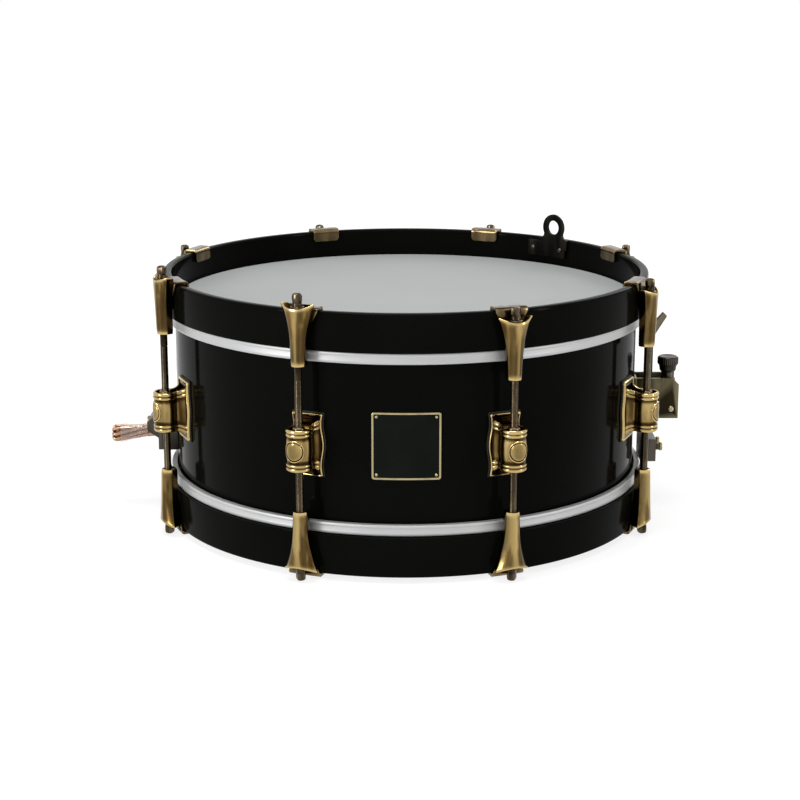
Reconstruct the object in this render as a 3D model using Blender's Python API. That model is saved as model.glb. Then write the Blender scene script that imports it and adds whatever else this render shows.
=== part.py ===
"""Snare drum with wooden hoops, claw hooks, tube lugs, throw-off strainer and butt clamp.

Frame: the origin is the centre of the batter head's playing surface and +Z points up out of it.
The badge faces -Y, the strainer sits at +X and the butt clamp at -X. All lengths are metres.
"""
from math import cos, pi, radians, sin

import bmesh
import bpy
from mathutils import Matrix

# ---- Driving dimensions ---------------------------------------------------------------------
SHELL_RADIUS = 0.1778
SHELL_WALL = 0.0065
SHELL_DEPTH = 0.1456
EDGE_INSET = 0.0030
EDGE_ROUND_DROP = 0.0031
BATTER_FILM = 0.0005
SNARE_FILM = 0.0004
FILM_COLLAR = 0.0080
FILM_ROLL = 0.0030

GAP = 0.0003
RUNNING_GAP = 0.0004
HOOP_CLEARANCE = 0.0006
LIP_CLEARANCE = 0.0005

HOOP_WALL = 0.0068
HOOP_RISE = 0.0214
BATTER_HOOP_HEIGHT = 0.0277
SNARE_HOOP_HEIGHT = 0.0295
FLESH_HEIGHT = 0.0080
FLESH_STEP = 0.0025
HOOP_CHAMFER = 0.0012

STATIONS = 8
FIRST_STATION = radians(22.5)
ROD_STANDOFF = 0.0075
ROD_RADIUS = 0.00275
ROD_END_SPACE = 0.0030
ROD_WASHER_RADIUS = 0.0048
ROD_WASHER = 0.0014
ROD_HEAD_HEIGHT = 0.0110
ROD_HEAD_HALF = 0.0030

NOSE_LENGTH = 0.0400
NOSE_WAIST_HALF = 0.0059
NOSE_FLARE_HALF = 0.0128
NOSE_DEPTH = 0.0062
NOSE_HORN = 0.0030
NOSE_RAISED_SEAT = 0.0023
NOSE_LOW_SEAT = -0.0071
NOSE_SNARE_SEAT = -0.0073
RAISED_STATIONS = (5, 6)

PLATE = 0.0020
PLATE_HALF = 0.0120
PLATE_LEG = 0.0190
LIP_DROP = 0.0080

LUG_DROP = 0.0020
LUG_BASE_HALF = 0.0145
LUG_BASE_HEIGHT = 0.0450
LUG_BASE_THICK = 0.0026
LUG_BARREL_RADIUS = 0.0086
LUG_BARREL_HEIGHT = 0.0300
LUG_NECK_HALF = 0.0068
LUG_NECK_HEIGHT = 0.0250

BADGE_SIZE = 0.0480
BADGE_THICK = 0.0009
BADGE_DROP = 0.0005
VENT_RADIUS = 0.0055
VENT_FLANGE = 0.0095
VENT_WALL = 0.0010

EYE_AZIMUTH = radians(47.6)
EYE_PLATE_HALF = 0.0195
EYE_PLATE_HEIGHT = 0.0130
EYE_PLATE_TOP = -0.0024
EYE_THICK = 0.0024
EYE_HALF = 0.0110
EYE_HOLE_RADIUS = 0.0058
EYE_HOLE_HEIGHT = 0.0096
EYE_SHIFT = 0.0060

BRACKET_GAP = 0.0065
BRACKET_HEIGHT = 0.0321
BRACKET_STANDOFF = 0.0348
BRACKET_CUT = 0.0050
CHEEK_THICK = 0.0020
CHEEK_INSIDE = 0.0093
WEB_THICK = 0.0020
RIVET_INSET = 0.0056
RIVET_RISE = 0.0075
RIVET_RADIUS = 0.0019
RIVET_PROUD = 0.0008

STRAND_BAND_HALF = 0.0130
STRAND_THICK = 0.0018
STRAND_BEND = 0.0060
GATE_SIDE = 0.0050
GATE_CLEARANCE = 0.0053

STRAINER_TRAVEL = 0.0070
CARRIAGE_DROP = 0.0066
CARRIAGE_HEIGHT = 0.0150
CARRIAGE_INSET = 0.0031
FOOT_CLEARANCE = 0.0007
FOOT_THICK = 0.0026
FOOT_RISE = 0.0018
FOOT_HEIGHT = 0.0280
FOOT_EDGE = 0.0005
CLAMP_HEIGHT = 0.0180
CLAMP_THICK = 0.0070
CLAMP_SCREW_RADIUS = 0.0028
CLAMP_SCREW_PROUD = 0.0040
CLAMP_SCREW_SPREAD = 0.0085
CLAMP_SCREW_DROP = 0.0070

KNOB_INSET = 0.0076
KNOB_RISE = 0.0034
KNOB_HEIGHT = 0.0120
KNOB_RADIUS = 0.0082
KNOB_NECK = 0.0055
KNOB_SCREW_RADIUS = 0.0026
KNOB_BOSS_RADIUS = 0.0052

LEVER_STANDOFF = 0.0137
LEVER_DROP = 0.0146
LEVER_THICK = 0.0035
LEVER_HALF = 0.0034
LEVER_HUB_RADIUS = 0.0070
LEVER_STRAIGHT = 0.0440
LEVER_TIP_OUT = 0.0102
LEVER_TIP_UP = 0.0185
PIVOT_RADIUS = 0.0025
PIVOT_HEAD_RADIUS = 0.0048
PIVOT_HEAD = 0.0024

BUTT_RISE = 0.0236
BUTT_HEIGHT = 0.0250
BUTT_EDGE = 0.0020
BUTT_BAR_THICK = 0.0088
BUTT_SCREW_DROP = 0.0050
BUTT_SCREW_RADIUS = 0.0030
BUTT_SCREW_PROUD = 0.0038
TAIL_DROP = 0.0152
TAIL_RADIUS = 0.0048
TAIL_END_RADIUS = 0.0080
TAIL_LENGTH = 0.0330

# ---- Facet counts ---------------------------------------------------------------------------
RING_SIDES = 64
BARREL_SIDES = 12
BORE_SIDES = 12
ROD_SIDES = 8
KNOB_SIDES = 24
TAIL_SIDES = 12
SMOOTH_ANGLE = radians(35)

# ---- Sizes that follow from the driving ones ------------------------------------------------
BATTER_COLLAR_RADIUS = SHELL_RADIUS + GAP + BATTER_FILM
HOOP_INNER = BATTER_COLLAR_RADIUS + HOOP_CLEARANCE
HOOP_OUTER = HOOP_INNER + HOOP_WALL
FLESH_OUTER = HOOP_OUTER - FLESH_STEP
ROD_CIRCLE = HOOP_OUTER + ROD_STANDOFF
SNARE_PLANE = -SHELL_DEPTH
SNARE_HOOP_END = SNARE_PLANE - HOOP_RISE
SHELL_MIDDLE = -SHELL_DEPTH / 2
LUG_Z = SHELL_MIDDLE - LUG_DROP
BADGE_Z = SHELL_MIDDLE - BADGE_DROP

CARRIAGE_BACK = FLESH_OUTER + FOOT_CLEARANCE
FOOT_OUT = CARRIAGE_BACK + FOOT_THICK
STRAND_IN = FOOT_OUT + GAP
STRAND_RUN_X = STRAND_IN + STRAND_THICK / 2
STRAND_OUT = STRAND_IN + STRAND_THICK
STRAND_LEVEL = SNARE_PLANE - GAP - STRAND_THICK / 2
GATE_HALF = STRAND_BAND_HALF + GATE_SIDE
GATE_FLOOR = STRAND_LEVEL - STRAND_THICK / 2 - GATE_CLEARANCE

FOOT_BOTTOM = STRAND_LEVEL + STRAND_BEND + STRAINER_TRAVEL + FOOT_RISE
FOOT_TOP = FOOT_BOTTOM + FOOT_HEIGHT
FOOT_HALF = STRAND_BAND_HALF + FOOT_EDGE
CLAMP_TOP = FOOT_BOTTOM + CLAMP_HEIGHT
BRACKET_BOTTOM = FOOT_TOP + BRACKET_GAP
BRACKET_TOP = BRACKET_BOTTOM + BRACKET_HEIGHT
BRACKET_REACH = SHELL_RADIUS + BRACKET_STANDOFF
CARRIAGE_TOP = BRACKET_TOP - CARRIAGE_DROP
CARRIAGE_BOTTOM = CARRIAGE_TOP - CARRIAGE_HEIGHT
CARRIAGE_REACH = BRACKET_REACH - CARRIAGE_INSET
KNOB_X = BRACKET_REACH - KNOB_INSET
KNOB_BASE = BRACKET_TOP + KNOB_RISE
LEVER_X = SHELL_RADIUS + LEVER_STANDOFF
LEVER_Z = BRACKET_TOP - LEVER_DROP

BUTT_BOTTOM = SNARE_PLANE + BUTT_RISE
BUTT_TOP = BUTT_BOTTOM + BUTT_HEIGHT
BUTT_HALF = STRAND_BAND_HALF + BUTT_EDGE
BUTT_FACE = STRAND_OUT + GAP + BUTT_BAR_THICK
TAIL_REACH = BUTT_FACE + TAIL_LENGTH


# ---- Scene and materials --------------------------------------------------------------------
def clear_scene():
    for old in list(bpy.data.objects):
        bpy.data.objects.remove(old, do_unlink=True)


def material(name, colour, roughness, metallic):
    made = bpy.data.materials.new(name)
    made.use_nodes = True
    shader = made.node_tree.nodes["Principled BSDF"]
    shader.inputs["Base Color"].default_value = (*colour, 1.0)
    shader.inputs["Roughness"].default_value = roughness
    shader.inputs["Metallic"].default_value = metallic
    return made


def finishes():
    return {
        "lacquer": material("black_lacquer", (0.010, 0.010, 0.012), 0.12, 0.0),
        "batter_film": material("coated_film", (0.52, 0.54, 0.54), 0.45, 0.0),
        "snare_film": material("clear_film", (0.60, 0.62, 0.62), 0.20, 0.0),
        "aluminium": material("satin_aluminium", (0.62, 0.63, 0.64), 0.35, 1.0),
        "brass": material("antique_brass", (0.36, 0.27, 0.13), 0.30, 1.0),
        "bronze": material("dark_bronze", (0.10, 0.07, 0.045), 0.40, 1.0),
        "black_steel": material("black_steel", (0.02, 0.02, 0.02), 0.35, 1.0),
        "olive_brass": material("olive_brass", (0.16, 0.13, 0.07), 0.42, 1.0),
        "strand": material("bronze_strand", (0.45, 0.20, 0.10), 0.40, 1.0),
    }


def place(name, mesh, finish, location=(0, 0, 0), turn=0.0):
    if not mesh.materials:
        mesh.materials.append(finish)
    piece = bpy.data.objects.new(name, mesh)
    piece.location = location
    piece.rotation_euler = (0, 0, turn)
    bpy.context.scene.collection.objects.link(piece)
    return piece


# ---- Mesh helpers ---------------------------------------------------------------------------
def mesh_of(name, points, faces):
    made = bpy.data.meshes.new(name)
    made.from_pydata(points, [], faces)
    body = bmesh.new()
    body.from_mesh(made)
    bmesh.ops.recalc_face_normals(body, faces=body.faces)
    body.to_mesh(made)
    body.free()
    made.shade_smooth()
    made.set_sharp_from_angle(angle=SMOOTH_ANGLE)
    return made


def loft(name, rings):
    """One closed solid through rings with equal point counts, with a flat cap at each end."""
    count = len(rings[0])
    points = [point for ring in rings for point in ring]
    faces = [list(range(count)), list(range(len(points) - count, len(points)))]
    for level in range(len(rings) - 1):
        base = level * count
        for k in range(count):
            after = (k + 1) % count
            faces.append([base + k, base + after, base + count + after, base + count + k])
    return mesh_of(name, points, faces)


def circle(radius, z, sides, square=2.0):
    """A ring about Z. A square value above 2 pulls the circle towards a rounded square."""
    ring = []
    for k in range(sides):
        angle = 2 * pi * (k + 0.5) / sides
        reach = radius / (abs(cos(angle)) ** square + abs(sin(angle)) ** square) ** (1 / square)
        ring.append((reach * cos(angle), reach * sin(angle), z))
    return ring


def turned_solid(name, profile, sides):
    """A solid turned about Z from (radius, z) pairs that run from one end to the other."""
    return loft(name, [circle(radius, z, sides) for radius, z in profile])


def turned_ring(name, profile, sides):
    """A ring turned about Z from a closed outline of (radius, z) pairs."""
    count = len(profile)
    points = []
    faces = []
    for k in range(sides):
        angle = 2 * pi * k / sides
        points += [(radius * cos(angle), radius * sin(angle), z) for radius, z in profile]
        for j in range(count):
            here = k * count
            there = ((k + 1) % sides) * count
            after = (j + 1) % count
            faces.append([here + j, here + after, there + after, there + j])
    return mesh_of(name, points, faces)


def box(name, low, high):
    (x0, y0, z0), (x1, y1, z1) = low, high
    rings = [[(x0, y0, z), (x1, y0, z), (x1, y1, z), (x0, y1, z)] for z in (z0, z1)]
    return loft(name, rings)


def curved_panel(name, rows, columns):
    """A panel bent about Z around +X. A row is (z, half width, inner radius, outer radius)."""
    rings = []
    for z, half, inner, outer in rows:
        steps = [half * (2 * k / columns - 1) / inner for k in range(columns + 1)]
        ring = [(inner * cos(a), inner * sin(a), z) for a in steps]
        ring += [(outer * cos(a), outer * sin(a), z) for a in reversed(steps)]
        rings.append(ring)
    return loft(name, rings)


def bent_extrusion(name, outline, half, columns, radius):
    """An outline of (radius, z) pairs swept round Z through a width of twice half."""
    rings = []
    for k in range(columns + 1):
        angle = half * (2 * k / columns - 1) / radius
        rings.append([(r * cos(angle), r * sin(angle), z) for r, z in outline])
    return loft(name, rings)


def along_x(mesh, x, y, z):
    """Turns a mesh made about Z so that it lies along +X, then moves it."""
    mesh.transform(Matrix.Translation((x, y, z)) @ Matrix.Rotation(pi / 2, 4, "Y"))
    return mesh


def along_y(mesh, x, y, z):
    """Turns a mesh made about Z so that it lies along +Y, then moves it."""
    mesh.transform(Matrix.Translation((x, y, z)) @ Matrix.Rotation(-pi / 2, 4, "X"))
    return mesh


def moved(mesh, x, y, z):
    mesh.transform(Matrix.Translation((x, y, z)))
    return mesh


def combine(name, base, added=(), removed=()):
    """Joins the added solids to the base and takes the removed ones away, as one mesh."""
    host = bpy.data.objects.new(name, base)
    bpy.context.scene.collection.objects.link(host)
    tools = []
    for operation, meshes in (("UNION", added), ("DIFFERENCE", removed)):
        for mesh in meshes:
            tool = bpy.data.objects.new("tool", mesh)
            bpy.context.scene.collection.objects.link(tool)
            step = host.modifiers.new(operation.lower(), "BOOLEAN")
            step.operation = operation
            step.solver = "EXACT"
            step.object = tool
            tools.append(tool)
    bpy.context.view_layer.update()
    evaluated = host.evaluated_get(bpy.context.evaluated_depsgraph_get())
    made = bpy.data.meshes.new_from_object(evaluated)
    for used in [host, *tools]:
        bpy.data.objects.remove(used, do_unlink=True)
    made.shade_smooth()
    made.set_sharp_from_angle(angle=SMOOTH_ANGLE)
    return made


# ---- Shell and heads ------------------------------------------------------------------------
def make_shell(finish):
    inner = SHELL_RADIUS - SHELL_WALL
    crown = SHELL_RADIUS - EDGE_INSET
    top = -BATTER_FILM - GAP
    bottom = SNARE_PLANE + SNARE_FILM + GAP
    slope = crown - inner
    shoulder = (crown + 0.6 * EDGE_INSET, 0.4 * EDGE_ROUND_DROP)
    outline = [
        (crown, top),
        (shoulder[0], top - shoulder[1]),
        (SHELL_RADIUS, top - EDGE_ROUND_DROP),
        (SHELL_RADIUS, bottom + EDGE_ROUND_DROP),
        (shoulder[0], bottom + shoulder[1]),
        (crown, bottom),
        (inner, bottom + slope),
        (inner, top - slope),
    ]
    wall = turned_ring("shell", outline, RING_SIDES)
    reach = SHELL_RADIUS - 2 * SHELL_WALL
    bore_radius = (VENT_RADIUS + VENT_WALL + GAP) / cos(pi / BORE_SIDES)
    bore = turned_solid("vent_bore", [(bore_radius, 0), (bore_radius, 3 * SHELL_WALL)], BORE_SIDES)
    bore = along_y(bore, 0, reach, -SHELL_DEPTH / 2)
    place("shell", combine("shell", wall, removed=[bore]), finish)


def make_vent_grommet(finish):
    """A turned sleeve through the shell at the back, flared outside and inside."""
    inside = (SHELL_RADIUS - SHELL_WALL) * cos(pi / RING_SIDES) - GAP
    outside = SHELL_RADIUS + GAP
    sleeve = VENT_RADIUS + VENT_WALL
    flare = sleeve + VENT_WALL
    outline = [
        (VENT_RADIUS, inside - VENT_WALL - flare ** 2 / (2 * inside)),
        (flare, inside - VENT_WALL - flare ** 2 / (2 * inside)),
        (flare, inside - flare ** 2 / (2 * inside)),
        (sleeve, inside),
        (sleeve, outside),
        (VENT_FLANGE, outside),
        (VENT_FLANGE, outside + VENT_WALL / 2),
        (sleeve, outside + VENT_WALL),
        (VENT_RADIUS, outside + VENT_WALL),
    ]
    mesh = along_y(turned_ring("vent_grommet", outline, BARREL_SIDES), 0, 0, -SHELL_DEPTH / 2)
    place("vent_grommet", mesh, finish)


def make_head(name, finish, plane, up, film):
    """A flat film that rolls over the bearing edge into a short collar outside the shell."""
    collar = SHELL_RADIUS + GAP + film
    flat = SHELL_RADIUS - EDGE_INSET + 2 * film
    middle = (flat + collar) / 2
    profile = [
        (flat, 0),
        (middle + 0.3 * film, -0.3 * FILM_ROLL),
        (collar, -FILM_ROLL),
        (collar, -FILM_COLLAR),
        (collar - film, -FILM_COLLAR),
        (collar - film, -FILM_ROLL),
        (middle - film, -0.3 * FILM_ROLL - film),
        (flat - film, -film),
    ]
    rings = [circle_on_facets(radius, plane + up * z) for radius, z in profile]
    place(name, loft(name, rings), finish)


def circle_on_facets(radius, z):
    """A ring whose corners line up with those of the turned rings."""
    angles = [2 * pi * k / RING_SIDES for k in range(RING_SIDES)]
    return [(radius * cos(a), radius * sin(a), z) for a in angles]


# ---- Hoops ----------------------------------------------------------------------------------
def make_flesh_hoop(name, finish, plane, up, hoop_height):
    near = plane + up * (HOOP_RISE - hoop_height - GAP)
    far = near - up * FLESH_HEIGHT
    outline = [(HOOP_INNER, near), (FLESH_OUTER, near), (FLESH_OUTER, far), (HOOP_INNER, far)]
    place(name, turned_ring(name, outline, RING_SIDES), finish)


def make_counterhoop(name, finish, plane, up, hoop_height, gates):
    far = plane + up * HOOP_RISE
    near = far - up * hoop_height
    cut = HOOP_CHAMFER
    outline = [
        (HOOP_INNER, near),
        (HOOP_OUTER, near),
        (HOOP_OUTER, far - up * cut),
        (HOOP_OUTER - cut, far),
        (HOOP_INNER + cut, far),
        (HOOP_INNER, far - up * cut),
    ]
    mesh = turned_ring(name, outline, RING_SIDES)
    if gates:
        tools = []
        for side in (-1, 1):
            ends = sorted((side * (HOOP_INNER - HOOP_WALL), side * (HOOP_OUTER + HOOP_WALL)))
            low = (ends[0], -GATE_HALF, GATE_FLOOR)
            high = (ends[1], GATE_HALF, near + HOOP_WALL)
            tools.append(box("gate", low, high))
        mesh = combine(name, mesh, removed=tools)
    place(name, mesh, finish)


# ---- Claws and tension rods -----------------------------------------------------------------
def nose_mesh(seat, up):
    """The flared tube of a claw: narrow at the shell side, wide and horned at the rod's head."""
    back = HOOP_OUTER + GAP + PLATE / 2
    front = ROD_CIRCLE + NOSE_DEPTH
    shape = (
        (0.00, 0.00, 0.0),
        (0.35, 0.08, 0.0),
        (0.62, 0.24, 0.0),
        (0.84, 0.56, 0.0),
        (1.00, 1.00, NOSE_HORN),
    )
    rings = []
    for along, flare, horn in shape:
        half = NOSE_WAIST_HALF + flare * (NOSE_FLARE_HALF - NOSE_WAIST_HALF)
        z = seat - up * NOSE_LENGTH * (1 - along)
        tip = z + up * horn
        lean = 0.0015 * (1 - along)
        rings.append([
            (back, -0.8 * half, z),
            (ROD_CIRCLE, -half, tip),
            (front - lean, -0.45 * half, z),
            (front - lean, 0.45 * half, z),
            (ROD_CIRCLE, half, tip),
            (back, 0.8 * half, z),
        ])
    return loft("nose", rings)


def hook_mesh(edge, up):
    """The plate that goes up the hoop's outside, over its edge and down inside as a lip."""
    leg_out = HOOP_OUTER + GAP + PLATE
    leg_in = HOOP_OUTER + GAP
    lip_out = HOOP_INNER - LIP_CLEARANCE
    lip_in = lip_out - PLATE
    under = edge + up * GAP
    over = under + up * PLATE
    outline = [
        (leg_in, edge - up * PLATE_LEG),
        (leg_out, edge - up * PLATE_LEG),
        (leg_out, over),
        (lip_in, over),
        (lip_in, edge - up * LIP_DROP),
        (lip_out, edge - up * LIP_DROP),
        (lip_out, under),
        (leg_in, under),
    ]
    return bent_extrusion("hook", outline, PLATE_HALF, 3, HOOP_OUTER)


def claw_mesh(name, edge, seat, up):
    bore_radius = (ROD_RADIUS + RUNNING_GAP) / cos(pi / BORE_SIDES)
    start, end = sorted((seat - up * 2 * NOSE_LENGTH, seat + up * NOSE_LENGTH))
    bore = turned_solid("bore", [(bore_radius, start), (bore_radius, end)], BORE_SIDES)
    pocket_radius = (ROD_WASHER_RADIUS + RUNNING_GAP) / cos(pi / BORE_SIDES)
    start, end = sorted((seat, seat + up * NOSE_LENGTH))
    pocket = turned_solid("pocket", [(pocket_radius, start), (pocket_radius, end)], BORE_SIDES)
    cuts = [moved(bore, ROD_CIRCLE, 0, 0), moved(pocket, ROD_CIRCLE, 0, 0)]
    return combine(name, hook_mesh(edge, up), added=[nose_mesh(seat, up)], removed=cuts)


def rod_mesh(name, length, up):
    """A tension rod from its seat plane at z = 0: shaft below, washer and square head above."""
    washer = GAP + ROD_WASHER
    neck = washer + 0.0012
    top = ROD_HEAD_HEIGHT
    stages = (
        (ROD_RADIUS, -length, 2),
        (ROD_RADIUS, GAP, 2),
        (ROD_WASHER_RADIUS, GAP, 2),
        (ROD_WASHER_RADIUS, washer, 2),
        (1.15 * ROD_HEAD_HALF, neck, 2),
        (ROD_HEAD_HALF, neck + 0.0010, 6),
        (ROD_HEAD_HALF, top - 0.0016, 6),
        (0.62 * ROD_HEAD_HALF, top, 4),
    )
    rings = [circle(radius, up * z, ROD_SIDES, square) for radius, z, square in stages]
    return loft(name, rings)


def make_stations(looks):
    batter_edge = HOOP_RISE
    low_seat = batter_edge + NOSE_LOW_SEAT
    raised_seat = batter_edge + NOSE_RAISED_SEAT
    snare_seat = SNARE_HOOP_END - NOSE_SNARE_SEAT
    batter_end = LUG_Z + ROD_END_SPACE
    snare_end = LUG_Z - ROD_END_SPACE
    claws = {
        "low": claw_mesh("claw_low", batter_edge, low_seat, 1),
        "raised": claw_mesh("claw_raised", batter_edge, raised_seat, 1),
        "snare": claw_mesh("claw_snare", SNARE_HOOP_END, snare_seat, -1),
    }
    rods = {
        "low": rod_mesh("rod_low", low_seat - batter_end, 1),
        "raised": rod_mesh("rod_raised", raised_seat - batter_end, 1),
        "snare": rod_mesh("rod_snare", snare_end - snare_seat, -1),
    }
    lug = lug_mesh()
    for k in range(STATIONS):
        angle = FIRST_STATION + k * 2 * pi / STATIONS
        x = ROD_CIRCLE * cos(angle)
        y = ROD_CIRCLE * sin(angle)
        kind = "raised" if k + 1 in RAISED_STATIONS else "low"
        seat = raised_seat if kind == "raised" else low_seat
        place(f"lug_{k + 1}", lug, looks["brass"], turn=angle)
        place(f"batter_claw_{k + 1}", claws[kind], looks["brass"], turn=angle)
        place(f"snare_claw_{k + 1}", claws["snare"], looks["brass"], turn=angle)
        place(f"batter_rod_{k + 1}", rods[kind], looks["bronze"], (x, y, seat), angle)
        place(f"snare_rod_{k + 1}", rods["snare"], looks["bronze"], (x, y, snare_seat), angle)


# ---- Lugs -----------------------------------------------------------------------------------
def lug_mesh():
    """A flange that hugs the shell, a neck, and an upright barrel bored for both rods."""
    inner = SHELL_RADIUS + GAP
    outer = inner + LUG_BASE_THICK
    swell = ((-0.50, 0.62), (-0.44, 0.84), (-0.20, 0.88), (0.0, 1.0), (0.20, 0.88), (0.44, 0.84),
             (0.50, 0.62))
    rows = []
    for along, share in swell:
        rows.append((LUG_Z + along * LUG_BASE_HEIGHT, share * LUG_BASE_HALF, inner, outer))
    flange = curved_panel("lug_flange", rows, 4)
    neck_low = (inner + LUG_BASE_THICK / 2, -LUG_NECK_HALF, LUG_Z - LUG_NECK_HEIGHT / 2)
    neck_high = (ROD_CIRCLE, LUG_NECK_HALF, LUG_Z + LUG_NECK_HEIGHT / 2)
    neck = box("lug_neck", neck_low, neck_high)
    half = LUG_BARREL_HEIGHT / 2
    wide = LUG_BARREL_RADIUS
    waist = 0.90 * LUG_BARREL_RADIUS
    profile = [(wide, -half), (wide, -0.74 * half), (waist, -0.60 * half), (wide, -0.25 * half),
               (wide, 0.25 * half), (waist, 0.60 * half), (wide, 0.74 * half), (wide, half)]
    barrel = moved(turned_solid("lug_barrel", profile, BARREL_SIDES), ROD_CIRCLE, 0, LUG_Z)
    bore_radius = (ROD_RADIUS + RUNNING_GAP) / cos(pi / BORE_SIDES)
    bore = turned_solid("lug_bore", [(bore_radius, -2 * half), (bore_radius, 2 * half)], BORE_SIDES)
    bore = moved(bore, ROD_CIRCLE, 0, LUG_Z)
    return combine("lug", flange, added=[neck, barrel], removed=[bore])


# ---- Badge and strap eye --------------------------------------------------------------------
def make_badge(finish):
    inner = SHELL_RADIUS + GAP
    half = BADGE_SIZE / 2
    rows = [(BADGE_Z + side * half, half, inner, inner + BADGE_THICK) for side in (-1, 1)]
    place("badge_plate", curved_panel("badge_plate", rows, 8), finish, turn=-pi / 2)


def make_strap_eye(finish):
    """A plate on the hoop's inner wall with an upright ear above the hoop, holed for a strap."""
    outer = HOOP_INNER * cos(pi / RING_SIDES) - GAP
    inner = outer - EYE_THICK
    plate_top = HOOP_RISE + EYE_PLATE_TOP
    rows = [(plate_top - EYE_PLATE_HEIGHT, EYE_PLATE_HALF, inner, outer),
            (plate_top, EYE_PLATE_HALF, inner, outer)]
    plate = curved_panel("eye_plate", rows, 4)
    hole_z = HOOP_RISE + EYE_HOLE_HEIGHT
    foot = plate_top - EYE_PLATE_HEIGHT / 2
    outline = [(-EYE_HALF, foot), (EYE_HALF, foot)]
    for k in range(9):
        angle = pi * k / 8
        outline.append((EYE_HALF * cos(angle), hole_z + EYE_HALF * sin(angle)))
    face = inner * cos(EYE_HALF / inner)
    rings = [[(x, y, z) for y, z in outline] for x in (face, face + EYE_THICK)]
    ear = loft("eye_ear", rings)
    span = (-2 * EYE_THICK, 2 * EYE_THICK)
    hole = turned_solid("eye_hole", [(EYE_HOLE_RADIUS, z) for z in span], BARREL_SIDES)
    hole = along_x(hole, inner, 0, hole_z)
    shift = Matrix.Rotation(-EYE_SHIFT / inner, 4, "Z")
    ear.transform(shift)
    hole.transform(shift)
    place("strap_eye", combine("strap_eye", plate, added=[ear], removed=[hole]), finish, turn=EYE_AZIMUTH)


# ---- Strainer -------------------------------------------------------------------------------
def make_strainer_base(finish):
    """A web that hugs the shell and two flat cheeks that stand out from it."""
    inner = SHELL_RADIUS + GAP
    outside = CHEEK_INSIDE + CHEEK_THICK
    rows = [(z, outside, inner, inner + WEB_THICK) for z in (BRACKET_BOTTOM, BRACKET_TOP)]
    web = curved_panel("web", rows, 4)
    root = inner + WEB_THICK / 2
    cheeks = []
    for y in (-outside, CHEEK_INSIDE):
        outline = [
            (root, BRACKET_BOTTOM),
            (BRACKET_REACH, BRACKET_BOTTOM),
            (BRACKET_REACH, BRACKET_TOP - BRACKET_CUT),
            (BRACKET_REACH - BRACKET_CUT, BRACKET_TOP),
            (root, BRACKET_TOP),
        ]
        rings = [[(x, y + step, z) for x, z in outline] for step in (0, CHEEK_THICK)]
        cheeks.append(loft("cheek", rings))
    rivet = turned_solid("rivet", [(RIVET_RADIUS, 0), (RIVET_RADIUS, CHEEK_THICK)], BORE_SIDES)
    rivet_x = BRACKET_REACH - RIVET_INSET
    cheeks.append(along_y(rivet, rivet_x, -outside - RIVET_PROUD, BRACKET_BOTTOM + RIVET_RISE))
    hole_radius = (PIVOT_RADIUS + GAP) / cos(pi / BORE_SIDES)
    hole = turned_solid("hole", [(hole_radius, 0), (hole_radius, 3 * CHEEK_THICK)], BORE_SIDES)
    hole = along_y(hole, LEVER_X, CHEEK_INSIDE - CHEEK_THICK, LEVER_Z)
    place("strainer_base", combine("strainer_base", web, added=cheeks, removed=[hole]), finish)


def make_strainer_lever(finish):
    """A flat bar outside the far cheek, upright when on, with a tip bent outward."""
    start = CHEEK_INSIDE + CHEEK_THICK + RUNNING_GAP
    bend = LEVER_STRAIGHT
    half = LEVER_HALF
    tip = (LEVER_TIP_OUT, bend + LEVER_TIP_UP)
    outline = [
        (-half, 0),
        (half, 0),
        (half, bend - 0.5 * half),
        (tip[0] + half, tip[1] - half),
        (tip[0], tip[1]),
        (-half, bend + 0.8 * half),
    ]
    rings = [[(x, start + step, z) for x, z in outline] for step in (0, LEVER_THICK)]
    bar = loft("lever_bar", rings)
    hub = turned_solid("hub", [(LEVER_HUB_RADIUS, 0), (LEVER_HUB_RADIUS, LEVER_THICK)], BARREL_SIDES)
    hub = along_y(hub, 0, start, 0)
    hole_radius = (PIVOT_RADIUS + GAP) / cos(pi / BORE_SIDES)
    hole = turned_solid("hole", [(hole_radius, 0), (hole_radius, 3 * LEVER_THICK)], BORE_SIDES)
    hole = along_y(hole, 0, start - LEVER_THICK, 0)
    mesh = combine("strainer_lever", hub, added=[bar], removed=[hole])
    place("strainer_lever", mesh, finish, (LEVER_X, 0, LEVER_Z))


def make_strainer_pivot(finish):
    """A shoulder screw through the lever's hub into the far cheek."""
    start = CHEEK_INSIDE
    shoulder = CHEEK_INSIDE + CHEEK_THICK + RUNNING_GAP + LEVER_THICK + RUNNING_GAP
    profile = [
        (PIVOT_RADIUS, start),
        (PIVOT_RADIUS, shoulder),
        (PIVOT_HEAD_RADIUS, shoulder),
        (PIVOT_HEAD_RADIUS, shoulder + 0.6 * PIVOT_HEAD),
        (0.7 * PIVOT_HEAD_RADIUS, shoulder + PIVOT_HEAD),
    ]
    mesh = along_y(turned_solid("strainer_pivot", profile, BORE_SIDES), LEVER_X, 0, LEVER_Z)
    place("strainer_pivot", mesh, finish)


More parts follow.
